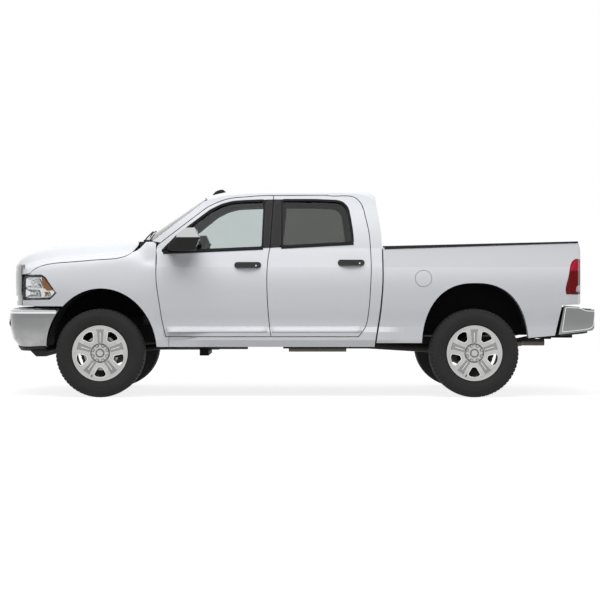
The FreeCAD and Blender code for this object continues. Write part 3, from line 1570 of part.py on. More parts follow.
def main():
    os.makedirs("parts", exist_ok=True)
    front_x0 = cab_front_x - overrun / 2
    split_x = cab_front_x + door_split_top_share[0] * cab_length + overrun
    rear_x0 = cab_front_x + door_split_shares[3][0] * cab_length - overrun
    front_door = side_door(front_door_runs(), front_window_runs(), front_x0, split_x)
    rear_door = side_door(rear_door_runs(), rear_window_runs(), rear_x0, cab_rear_x)
    window_fill = side_glass(front_window_runs(), front_x0, split_x)
    front_pane = window_fill.cut(before_sail(0.0))
    sail = window_fill.common(before_sail(-fit_gap))
    rear_pane = side_glass(rear_window_runs(), rear_x0, cab_rear_x)
    for name, shape in (("front_door", front_door), ("rear_door", rear_door), ("front_glass", front_pane),
                        ("rear_glass", rear_pane), ("mirror", mirror(sail))):
        save(name + "_left", shape)
        save(name + "_right", mirrored(shape))
    save("cab_sides", both(cab_side()))
    save("cab_back", cab_back())
    save("cab_floor", cab_floor())
    save("firewall", firewall())
    save("roof", roof())
    save("windshield", windshield())
    save("rear_window", rear_glass())
    save("cowl", cowl())
    skin = front_skin(0.0, front_wall)
    save("hood", hood(skin))
    save("front_fenders", both(fender(skin)))
    save("headlamps", both(headlamp()))
    save("wheel_liners", Part.makeCompound([both(front_liner()), both(rear_liner())]))
    save("grille", grille())
    save("radiator", radiator())
    save("front_bumper", front_bumper())
    save("air_dam", air_dam())
    pocket = fuel_hole(fuel_door_radius, fuel_pocket_depth)
    side = bed_side()
    save("bed_sides", Part.makeCompound([side.cut(pocket), mirrored(side)]))
    save("fuel_door", fuel_door())
    save("bed_rail_caps", both(rail_cap()))
    save("tail_lamps", both(tail_lamp()))
    save("cargo_bed", cargo_bed())
    save("tailgate", tailgate())
    save("rear_bumper", rear_bumper())
    save("chassis_frame", chassis_frame())
    save("hitch_receiver", receiver())
    save("engine_block", engine_block())
    save("driveline", driveline())
    save("front_axle", front_axle())
    save("rear_axle", rear_axle())
    save("suspension", suspension())
    save("exhaust", exhaust())
    save("fuel_tank", fuel_tank())
    save("seats", seats())
    save("dashboard", dashboard())
    rim = wheel()
    rubber = tyre()
    corners = (("front_left", front_axle_x, False), ("front_right", front_axle_x, True),
               ("rear_left", rear_axle_x, False), ("rear_right", rear_axle_x, True))
    for name, x, right in corners:
        save("wheel_" + name, at_corner(rim, x, right))
        save("tyre_" + name, at_corner(rubber, x, right))
    save("knuckle_left", at_corner(knuckle(), front_axle_x, False))
    save("knuckle_right", at_corner(knuckle(), front_axle_x, True))


main()
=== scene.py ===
"""Looks of a crew cab pickup truck: paint, glass, trim, lamps, wheels, cabin and a plain studio."""

import json
import logging
import math
from dataclasses import dataclass
from enum import Enum
from typing import Callable, Optional, Sequence, Union

import bmesh
import bpy
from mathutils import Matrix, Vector
from mathutils.bvhtree import BVHTree

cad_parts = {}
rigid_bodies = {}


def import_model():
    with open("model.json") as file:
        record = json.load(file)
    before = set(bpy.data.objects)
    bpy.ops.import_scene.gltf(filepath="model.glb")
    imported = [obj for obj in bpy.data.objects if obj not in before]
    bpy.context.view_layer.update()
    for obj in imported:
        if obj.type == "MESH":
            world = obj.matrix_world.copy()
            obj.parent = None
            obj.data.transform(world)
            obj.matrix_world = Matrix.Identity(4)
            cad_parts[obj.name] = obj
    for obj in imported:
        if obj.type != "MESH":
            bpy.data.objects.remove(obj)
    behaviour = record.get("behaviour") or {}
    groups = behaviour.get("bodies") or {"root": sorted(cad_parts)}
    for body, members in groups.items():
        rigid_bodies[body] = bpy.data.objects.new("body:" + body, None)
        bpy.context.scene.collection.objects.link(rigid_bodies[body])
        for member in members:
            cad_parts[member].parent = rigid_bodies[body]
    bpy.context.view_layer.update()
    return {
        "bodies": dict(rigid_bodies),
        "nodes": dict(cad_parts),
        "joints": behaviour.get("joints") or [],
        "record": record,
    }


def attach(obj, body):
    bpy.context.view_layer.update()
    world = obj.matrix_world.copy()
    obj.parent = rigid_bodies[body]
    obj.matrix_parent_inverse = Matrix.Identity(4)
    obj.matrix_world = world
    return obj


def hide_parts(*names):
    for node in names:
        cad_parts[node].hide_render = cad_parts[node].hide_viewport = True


LOG = logging.getLogger("truck")
Colour = tuple[float, float, float]
Pair = tuple[float, float]
ROOT = "root"


class Side(Enum):
    """A side of the truck, with the sign of Y there."""

    LEFT = -1
    RIGHT = 1

    @property
    def word(self) -> str:
        """The side's plain name."""
        return self.name.lower()


class End(Enum):
    """An end of the truck, with the sign of X there."""

    FRONT = -1
    REAR = 1

    @property
    def word(self) -> str:
        """The end's plain name."""
        return self.name.lower()


class Axis(Enum):
    """An axis of the truck: of a turned piece, or of a coordinate in a finish."""

    X = 0
    Y = 1
    Z = 2


class Signal:
    """A number that varies over a surface, used in plain expressions."""

    def __init__(self, mixture: "Mixture", socket: bpy.types.NodeSocket) -> None:
        """Wraps an output socket."""
        self.mixture = mixture
        self.socket = socket

    def maths(self, operation: str, first: "Number", second: "Number") -> "Signal":
        """Adds one Math node."""
        node = self.mixture.node("ShaderNodeMath", {"operation": operation}, {0: first, 1: second})
        return Signal(self.mixture, node.outputs[0])

    def __add__(self, other: "Number") -> "Signal":
        """Sum."""
        return self.maths("ADD", self, other)

    def __radd__(self, other: "Number") -> "Signal":
        """Sum with a plain number first."""
        return self.maths("ADD", other, self)

    def __sub__(self, other: "Number") -> "Signal":
        """Difference."""
        return self.maths("SUBTRACT", self, other)

    def __rsub__(self, other: "Number") -> "Signal":
        """Difference with a plain number first."""
        return self.maths("SUBTRACT", other, self)

    def __mul__(self, other: "Number") -> "Signal":
        """Product."""
        return self.maths("MULTIPLY", self, other)

    def __rmul__(self, other: "Number") -> "Signal":
        """Product with a plain number first."""
        return self.maths("MULTIPLY", other, self)

    def smaller(self, other: "Number") -> "Signal":
        """The smaller of two numbers."""
        return self.maths("MINIMUM", self, other)

    def rise(self, low: float, high: float) -> "Signal":
        """A smooth step from 0 below one level to 1 above another.

        Args:
            low: Where the step starts.
            high: Where it ends.

        Returns:
            The step.
        """
        settings = {"interpolation_type": "SMOOTHSTEP"}
        node = self.mixture.node("ShaderNodeMapRange", settings, {0: self, 1: low, 2: high})
        return Signal(self.mixture, node.outputs[0])


Number = Union[Signal, float]
Feed = Union[Signal, bpy.types.NodeSocket, float, tuple]


class Mixture:
    """The node tree of a material or of the sky."""

    def __init__(self, owner: Union[bpy.types.Material, bpy.types.World]) -> None:
        """Empties the owner's node tree.

        Args:
            owner: What holds the tree.
        """
        owner.use_nodes = True
        self.tree = owner.node_tree
        self.tree.nodes.clear()

    def node(self, kind: str, settings: dict, inputs: dict) -> bpy.types.Node:
        """Adds one node.

        Args:
            kind: The node's type.
            settings: Its own settings, set first.
            inputs: Values or links by socket.

        Returns:
            The node.
        """
        made = self.tree.nodes.new(kind)
        for key, value in settings.items():
            setattr(made, key, value)
        for key, value in inputs.items():
            self.feed(made.inputs[key], value)
        return made

    def feed(self, socket: bpy.types.NodeSocket, value: Feed) -> None:
        """Links or sets one socket."""
        if isinstance(value, Signal):
            self.tree.links.new(value.socket, socket)
        elif isinstance(value, bpy.types.NodeSocket):
            self.tree.links.new(value, socket)
        else:
            socket.default_value = value

    def where(self, output: str = "Object") -> bpy.types.NodeSocket:
        """A texture coordinate; Object is the point on the piece, in metres in the truck's frame."""
        return self.node("ShaderNodeTexCoord", {}, {}).outputs[output]

    def along(self, axis: Axis, output: str = "Object") -> Signal:
        """One component of a texture coordinate."""
        node = self.node("ShaderNodeSeparateXYZ", {}, {0: self.where(output)})
        return Signal(self, node.outputs[axis.value])

    def noise(self, scale: float, detail: float = 2.0) -> Signal:
        """A cloudy pattern."""
        inputs = {"Vector": self.where(), "Scale": scale, "Detail": detail}
        return Signal(self, self.node("ShaderNodeTexNoise", {}, inputs).outputs[0])

    def weave(self, scale: float) -> Signal:
        """A fine cell pattern, for grained plastic and cloth."""
        inputs = {"Vector": self.where(), "Scale": scale}
        return Signal(self, self.node("ShaderNodeTexVoronoi", {}, inputs).outputs[0])

    def mix(self, share: Number, first: Feed, second: Feed) -> bpy.types.NodeSocket:
        """Two colours mixed."""
        inputs = {0: share, 6: first, 7: second}
        return self.node("ShaderNodeMix", {"data_type": "RGBA"}, inputs).outputs[2]

    def bump(self, height: Signal, depth: float) -> bpy.types.NodeSocket:
        """A bumped normal."""
        return self.node("ShaderNodeBump", {}, {"Height": height, "Distance": depth}).outputs[0]

    def principled(self, inputs: dict) -> bpy.types.NodeSocket:
        """A Principled surface with these inputs."""
        return self.node("ShaderNodeBsdfPrincipled", {}, inputs).outputs[0]

    def show(self, shader: bpy.types.NodeSocket, kind: str = "ShaderNodeOutputMaterial") -> None:
        """Sets what the tree shows."""
        self.node(kind, {}, {"Surface": shader})


def opaque(colour: Colour, share: float = 1.0) -> tuple[float, float, float, float]:
    """A colour, darkened by a share, with full alpha."""
    return (colour[0] * share, colour[1] * share, colour[2] * share, 1.0)


@dataclass(frozen=True)
class Look:
    """What every finish has: a name, and a material that is built once."""

    name: str

    def surface(self, mixture: Mixture) -> bpy.types.NodeSocket:
        """The shader, which each kind of finish gives."""
        raise NotImplementedError

    def material(self) -> bpy.types.Material:
        """Builds the finish, or hands out the one already built.

        Returns:
            The material.
        """
        known = bpy.data.materials.get(self.name)
        if known is None:
            known = bpy.data.materials.new(self.name)
            mixture = Mixture(known)
            mixture.show(self.surface(mixture))
        return known


@dataclass(frozen=True)
class Finish(Look):
    """A finish with patches of a slightly other tone and a fine grain."""

    colour: Colour
    roughness: float = 0.5
    metallic: float = 0.0
    coat: float = 0.0
    tone: float = 0.9
    patches: float = 5.0
    grain: float = 0.0
    grain_scale: float = 900.0
    rough_spread: float = 0.06
    specular: float = 0.5
    coat_roughness: float = 0.04

    def tint(self, mixture: Mixture) -> bpy.types.NodeSocket:
        """The base colour over the surface."""
        cloud = mixture.noise(self.patches)
        return mixture.mix(cloud, opaque(self.colour), opaque(self.colour, self.tone))

    def sheen(self, mixture: Mixture) -> Signal:
        """The roughness over the surface."""
        return self.roughness + (mixture.noise(self.patches * 3) - 0.5) * self.rough_spread

    def inputs(self, mixture: Mixture) -> dict:
        """What the shader's sockets get.

        Args:
            mixture: The tree that is filled.

        Returns:
            Values by the name of the socket.
        """
        made = {"Base Color": self.tint(mixture), "Roughness": self.sheen(mixture),
                "Metallic": self.metallic, "Coat Weight": self.coat,
                "Coat Roughness": self.coat_roughness, "Specular IOR Level": self.specular}
        if self.grain:
            made["Normal"] = mixture.bump(mixture.weave(self.grain_scale), self.grain)
        return made

    def surface(self, mixture: Mixture) -> bpy.types.NodeSocket:
        """A Principled shader."""
        return mixture.principled(self.inputs(mixture))


@dataclass(frozen=True)
class BodyPaint(Finish):
    """Gloss paint or plating whose colour shifts in patches towards a lower colour below a height: on paint a
    faint road film, on chrome a painted reflection.
    """

    film: Colour = (0.60, 0.59, 0.57)
    film_top: float = 0.85
    film_base: float = 0.35
    film_share: float = 0.16
    film_patches: float = 9.0

    def tint(self, mixture: Mixture) -> bpy.types.NodeSocket:
        """Clean colour above, with patches of the lower colour below: road film on paint, a painted
        reflection on chrome.
        """
        clean = super().tint(mixture)
        height = mixture.along(Axis.Z).rise(self.film_base, self.film_top)
        low = (1.0 - height) * mixture.noise(self.film_patches)
        return mixture.mix(low * self.film_share, clean, opaque(self.film))


@dataclass(frozen=True)
class LinedPaint(BodyPaint):
    """Body paint on a panel whose cabin side is covered with trim."""

    lining: Colour = (0.035, 0.035, 0.035)
    lining_dullness: float = 0.4
    facing: Axis = Axis.Y
    facing_edge: Pair = (-0.2, -0.1)
    window_line: float = 0.0
    window_lean: float = 0.358
    window_base: float = 1.450
    window_blur: float = 0.004
    line_blur: float = 0.002

    def inner(self, mixture: Mixture) -> Signal:
        """1 on the faces that look into the cabin, and on the inner half of a window frame."""
        facing = mixture.along(self.facing, "Normal")
        if self.facing is Axis.Y:
            facing = facing * mixture.along(Axis.Y)
        share = 1.0 - facing.rise(*self.facing_edge)
        if not self.window_line:
            return share
        across = mixture.along(Axis.Y)
        height = mixture.along(Axis.Z)
        limit = self.window_line - (height - self.window_base) * self.window_lean
        inside = 1.0 - (across * across - limit * limit).rise(0.0, self.line_blur)
        frame = inside * height.rise(self.window_base, self.window_base + self.window_blur)
        return share + frame - share * frame

    def inputs(self, mixture: Mixture) -> dict:
        """The paint's inputs, turned to dull lining on the inner faces."""
        share = self.inner(mixture)
        made = super().inputs(mixture)
        made["Base Color"] = mixture.mix(share, made["Base Color"], opaque(self.lining))
        made["Roughness"] = made["Roughness"] + share * self.lining_dullness
        made["Coat Weight"] = self.coat * (1.0 - share)
        return made


@dataclass(frozen=True)
class ZonedFinish(Finish):
    """A finish with a second colour above a height."""

    other: Colour = (0.5, 0.5, 0.5)
    edge: float = 1.0
    blur: float = 0.01
    other_metallic: float = 0.0
    other_roughness: float = 0.5

    def zone(self, mixture: Mixture) -> Signal:
        """0 below the edge and 1 above it."""
        return mixture.along(Axis.Z).rise(self.edge - self.blur, self.edge + self.blur)

    def inputs(self, mixture: Mixture) -> dict:
        """The inputs of the lower zone, turned to those of the upper one."""
        share = self.zone(mixture)
        made = super().inputs(mixture)
        made["Base Color"] = mixture.mix(share, made["Base Color"], opaque(self.other))
        made["Roughness"] = made["Roughness"] + share * (self.other_roughness - self.roughness)
        made["Metallic"] = self.metallic + share * (self.other_metallic - self.metallic)
        return made


@dataclass(frozen=True)
class MirrorFinish(ZonedFinish):
    """Chrome on the upper head of a mirror, black on its lower part, arm and corner plate."""

    head_start: float = 0.985

    def zone(self, mixture: Mixture) -> Signal:
        """1 on the upper head only."""
        across = mixture.along(Axis.Y)
        out = (across * across).rise(self.head_start ** 2, (self.head_start + self.blur) ** 2)
        return super().zone(mixture) * out


@dataclass(frozen=True)
class GlassFinish(Look):
    """Clear or tinted glass: it lets light through and mirrors a little more at a slant."""

    tint: Colour
    dust: float = 0.012
    dust_patches: float = 5.0
    smear_patches: float = 8.0
    roughness: float = 0.02
    gloss: Colour = (0.9, 0.92, 0.92)
    refraction: float = 1.45

    def surface(self, mixture: Mixture) -> bpy.types.NodeSocket:
        """A clear shader and a mirroring one, mixed by the slant."""
        clear = mixture.node("ShaderNodeBsdfTransparent", {}, {"Color": opaque(self.tint)})
        rough = self.roughness + mixture.noise(self.smear_patches) * self.dust
        gloss = mixture.principled({"Base Color": opaque(self.gloss), "Roughness": rough, "Metallic": 1.0})
        slant = Signal(mixture, mixture.node("ShaderNodeFresnel", {}, {"IOR": self.refraction}).outputs[0])
        share = slant + mixture.noise(self.dust_patches) * self.dust
        return mixture.node("ShaderNodeMixShader", {}, {0: share, 1: clear.outputs[0], 2: gloss}).outputs[0]


BODY_WHITE = {"colour": (0.785, 0.805, 0.840), "roughness": 0.30, "coat": 0.6, "tone": 0.985,
              "rough_spread": 0.04}
PAINT = BodyPaint("body_paint_look", **BODY_WHITE)
DOOR_PAINT = LinedPaint("door_paint_look", window_line=0.876, **BODY_WHITE)
CAB_PAINT = LinedPaint("cab_paint_look", **BODY_WHITE)
ROOF_PAINT = LinedPaint("roof_paint_look", facing=Axis.Z, lining=(0.10, 0.10, 0.098), **BODY_WHITE)
BACK_PAINT = LinedPaint("back_paint_look", facing=Axis.X, **BODY_WHITE)
# On chrome the lower colour is lighter: its patches towards the bottom are a painted reflection, not road
# film.
CHROME = BodyPaint("chrome_plate_look", (0.25, 0.252, 0.255), 0.11, 1.0, tone=0.84, rough_spread=0.05,
                   film=(0.55, 0.55, 0.54), film_top=0.78, film_base=0.50, film_share=0.8)
# Lighter copy of the chrome: a painted highlight on the bumper's top roll and rear rims, and on the door
# locks.
CHROME_PAINTED_HIGHLIGHT = Finish("bright_chrome_look", (0.80, 0.81, 0.82), 0.10, 1.0, tone=0.92, rough_spread=0.05)
GRILLE_CHROME = Finish("grille_chrome_look", (0.38, 0.383, 0.386), 0.12, 1.0, tone=0.80, patches=9.0)
ALLOY = Finish("wheel_alloy_look", (0.52, 0.52, 0.515), 0.26, 1.0, tone=0.9, patches=7.0, rough_spread=0.08)
ALLOY_DARK = Finish("spoke_alloy_look", (0.31, 0.307, 0.303), 0.30, 1.0, tone=0.85, patches=9.0)
# Lighter copy of the alloy: a painted highlight on the window beads, spoke ridges and rim ring.
ALLOY_PAINTED_HIGHLIGHT = Finish("edge_alloy_look", (0.84, 0.84, 0.83), 0.16, 1.0, tone=0.92, patches=7.0)
RUBBER = Finish("tyre_look", (0.028, 0.028, 0.028), 0.75, tone=0.75, patches=9.0, grain=0.0006,
                grain_scale=500.0, specular=0.35)
SEAL = Finish("seal_look", (0.014, 0.014, 0.014), 0.65, tone=0.8, specular=0.25)
GAP_SEAL = ZonedFinish("gap_seal_look", (0.09, 0.09, 0.092), 0.70, tone=0.8, specular=0.25,
                       other=(0.012, 0.012, 0.012), edge=1.450, blur=0.004, other_roughness=0.7)
PLASTIC = Finish("trim_plastic_look", (0.016, 0.016, 0.017), 0.55, tone=0.8, grain=0.0004, grain_scale=700.0,
                 specular=0.3)
LINER = Finish("liner_look", (0.006, 0.006, 0.006), 0.80, tone=0.6, patches=8.0, grain=0.0006, specular=0.12)
GLOSS_BLACK = Finish("gloss_black_look", (0.010, 0.0095, 0.0095), 0.22, tone=0.85, specular=0.5)
FRAME_PAINT = Finish("frame_paint_look", (0.008, 0.008, 0.008), 0.60, tone=0.6, patches=7.0, grain=0.0005,
                     specular=0.18)
CASTING = Finish("casting_look", (0.055, 0.052, 0.050), 0.65, 0.4, tone=0.6, patches=9.0, grain=0.001,
                 specular=0.25)
STEEL = Finish("bright_steel_look", (0.34, 0.335, 0.33), 0.32, 1.0, tone=0.8, patches=11.0, rough_spread=0.15)
RUSTY_STEEL = Finish("exhaust_look", (0.16, 0.14, 0.12), 0.55, 0.7, tone=0.6, patches=8.0, rough_spread=0.2)
CLOTH = Finish("seat_cloth_look", (0.10, 0.098, 0.095), 0.9, tone=0.8, patches=30.0, grain=0.001,
               grain_scale=450.0, specular=0.2)
CABIN_PLASTIC = Finish("cabin_plastic_look", (0.055, 0.054, 0.052), 0.7, tone=0.85, grain=0.0004,
                       specular=0.3)
CARPET = Finish("carpet_look", (0.03, 0.03, 0.03), 0.95, tone=0.7, patches=40.0, grain=0.002, specular=0.1)
BED_COAT = Finish("bed_coat_look", (0.62, 0.63, 0.64), 0.5, tone=0.9, patches=6.0, grain=0.0003)
CLEAR_GLASS = GlassFinish("clear_glass_look", (0.845, 0.870, 0.868))
SCREEN_GLASS = GlassFinish("screen_glass_look", (0.80, 0.83, 0.825))
DARK_GLASS = GlassFinish("privacy_glass_look", (0.525, 0.532, 0.52))
LENS = GlassFinish("lamp_lens_look", (0.96, 0.965, 0.97), dust=0.01)
AMBER = Finish("amber_lens_look", (0.95, 0.34, 0.01), 0.25, tone=0.8, patches=30.0, specular=0.25)
LAMP_SILVER = Finish("lamp_silver_look", (0.99, 0.991, 0.993), 0.20, 0.78, tone=0.84, patches=26.0)
LAMP_DARK = Finish("lamp_dark_look", (0.03, 0.03, 0.032), 0.3, tone=0.8, specular=0.3)
MARKER = Finish("marker_lens_look", (0.012, 0.010, 0.009), 0.35, tone=0.8, specular=0.2)
TAIL_RED = ZonedFinish("tail_red_look", (0.27, 0.001, 0.004), 0.16, tone=0.7, patches=22.0, specular=0.12,
                       other=(0.56, 0.014, 0.045), edge=1.237, blur=0.004, other_roughness=0.18)
WHITE_LENS = Finish("white_lens_look", (0.66, 0.66, 0.68), 0.25, tone=0.8, patches=30.0, specular=0.3)
MIRROR_HEAD = MirrorFinish("mirror_head_look", (0.012, 0.012, 0.013), 0.5, tone=0.8,
                           other=(0.60, 0.605, 0.61), edge=1.560, blur=0.003, other_metallic=1.0,
                           other_roughness=0.14, specular=0.25)
MIRROR_GLASS = Finish("mirror_glass_look", (0.75, 0.77, 0.78), 0.02, 1.0, tone=0.97, rough_spread=0.01)
PLATE_WHITE = Finish("plate_white_look", (0.70, 0.70, 0.69), 0.4, tone=0.95)


def both_sides(*stems: str) -> tuple[str, ...]:
    """The names of nodes that come as a left and a right one."""
    return tuple(f"{stem}_{side.word}" for stem in stems for side in Side)


NODE_FINISHES: tuple = (
    (PAINT, ("hood", "front_fenders", "bed_sides", "fuel_door", "tailgate")),
    (DOOR_PAINT, both_sides("front_door", "rear_door")),
    (CAB_PAINT, ("cab_sides",)),
    (ROOF_PAINT, ("roof",)),
    (BACK_PAINT, ("cab_back",)),
    (BED_COAT, ("cargo_bed",)),
    (CHROME, ("front_bumper", "rear_bumper")),
    (GRILLE_CHROME, ("grille",)),
    (PLASTIC, ("cowl", "air_dam", "bed_rail_caps")),
    (LINER, ("wheel_liners",)),
    (MIRROR_HEAD, both_sides("mirror")),
    (CLEAR_GLASS, both_sides("front_glass")),
    (SCREEN_GLASS, ("windshield",)),
    (DARK_GLASS, both_sides("rear_glass") + ("rear_window",)),
    (LENS, ("headlamps",)),
    (TAIL_RED, ("tail_lamps",)),
    (FRAME_PAINT, ("chassis_frame", "hitch_receiver", "suspension", "front_axle", "rear_axle", "radiator",
                   "firewall", "fuel_tank")),
    (CASTING, ("engine_block", "driveline") + both_sides("knuckle")),
    (RUSTY_STEEL, ("exhaust",)),
    (CARPET, ("cab_floor",)),
    (CLOTH, ("seats",)),
    (CABIN_PLASTIC, ("dashboard",)),
    (ALLOY, both_sides("wheel_front", "wheel_rear")),
    (RUBBER, both_sides("tyre_front", "tyre_rear")),
)

NEAR_ZERO = 1e-6
CORNER_SHARE = 0.45
LEAST_COSINE = 0.3
LONGEST_MITRE = 1.6


def blend(start: float, end: float, share: Number) -> Number:
    """The value at a share of the way between two."""
    return start + share * (end - start)


def in_turn(count: int) -> list[float]:
    """Equal steps from 0 to 1."""
    return [index / (count - 1) for index in range(count)]


def angles(count: int) -> list[float]:
    """Equal turns round a full circle."""
    return [2 * math.pi * step / count for step in range(count)]


def between(first: Vector, second: Vector, count: int) -> list[Vector]:
    """Points evenly spaced on a line, both ends included."""
    return [first.lerp(second, share) for share in in_turn(count)]


def centre_of(points: Sequence[Vector]) -> Vector:
    """The mean of some points."""
    return sum(points, Vector()) / len(points)


def refined(points: Sequence[Vector], length: float) -> list[Vector]:
    """A closed outline with extra points, so that no edge is longer than a length.

    Args:
        points: The outline's corners.
        length: The longest edge allowed.

    Returns:
        The finer outline.
    """
    result = []
    for index, point in enumerate(points):
        following = points[(index + 1) % len(points)]
        count = max(1, math.ceil((following - point).length / length))
        result += [point.lerp(following, step / count) for step in range(count)]
    return result


def smooth_path(points: Sequence[Vector], steps: int = 6, closed: bool = False) -> list[Vector]:
    """A smooth curve through given points.

    Args:
        points: The points.
        steps: Pieces between two points.
        closed: Whether the curve comes back to its start.

    Returns:
        The points of the curve.
    """
    count = len(points)
    spans = count if closed else count - 1
    path = []
    for index in range(spans):
        if closed:
            a, b, c, d = (points[(index + k) % count] for k in (-1, 0, 1, 2))
        else:
            a, b, c, d = (points[min(max(index + k, 0), count - 1)] for k in (-1, 0, 1, 2))
        for step in range(steps):
            t = step / steps
            path.append(0.5 * (2 * b + (c - a) * t + (2 * a - 5 * b + 4 * c - d) * t * t
                               + (3 * b - a - 3 * c + d) * t ** 3))
    if not closed:
        path.append(points[-1].copy())
    return path


def flat(points: Sequence[Pair]) -> list[Vector]:
    """Points of a side outline, from (x, z) pairs, with Y at zero."""
    return [Vector((x, 0.0, z)) for x, z in points]


def rounded(points: Sequence[Pair], radius: float, steps: int = 4) -> list[Vector]:
    """A closed side outline with rounded corners.

    Args:
        points: The corners as (x, z).
        radius: The largest corner radius.
        steps: Pieces in each corner.

    Returns:
        The outline's points.
    """
    corners = flat(points)
    result = []
    for index, corner in enumerate(corners):
        before = corners[index - 1] - corner
        after = corners[(index + 1) % len(corners)] - corner
        cut = min(radius, before.length * CORNER_SHARE, after.length * CORNER_SHARE)
        start = corner + before.normalized() * cut
        end = corner + after.normalized() * cut
        for step in range(steps + 1):
            t = step / steps
            result.append(start * (1 - t) ** 2 + corner * 2 * t * (1 - t) + end * t * t)
    return result


def panel(width: float, height: float, middle: Pair, radius: float, steps: int = 4) -> list[Vector]:
    """A rectangle with rounded corners.

    Args:
        width: Its size along the first coordinate.
        height: Its size along Z.
        middle: Its middle.
        radius: The corner radius.
        steps: Pieces in each corner.

    Returns:
        The outline's points.
    """
    corners = [(middle[0] + a * width / 2, middle[1] + b * height / 2)
               for a, b in ((-1, -1), (1, -1), (1, 1), (-1, 1))]
    return rounded(corners, radius, steps)


def sided(profile: Sequence[Pair], side: Side) -> list[Pair]:
    """A turned profile of (radius, out) pairs, with out counted from the middle of the truck."""
    return [(radius, side.value * out) for radius, out in profile]


def modify(piece: bpy.types.Object, name: str, kind: str, **settings: Union[float, str]) -> None:
    """Adds a modifier to a piece and sets its values."""
    added = piece.modifiers.new(name, kind)
    for key, value in settings.items():
        setattr(added, key, value)


def offset_outline(points: Sequence[Vector], distance: float) -> list[Vector]:
    """A closed side outline moved along its own normals.

    Args:
        points: The outline, in the XZ plane.
        distance: How far; positive is to the left of the way it runs.

    Returns:
        The moved outline.
    """
    result = []
    count = len(points)
    for index, point in enumerate(points):
        one = point - points[index - 1]
        two = points[(index + 1) % count] - point
        first = Vector((-one.z, 0.0, one.x)).normalized()
        second = Vector((-two.z, 0.0, two.x)).normalized()
        middle = first + second
        if middle.length < NEAR_ZERO:
            middle = first
        middle.normalize()
        stretch = min(LONGEST_MITRE, 1.0 / max(LEAST_COSINE, middle.dot(first)))
        result.append(point + middle * distance * stretch)
    return result


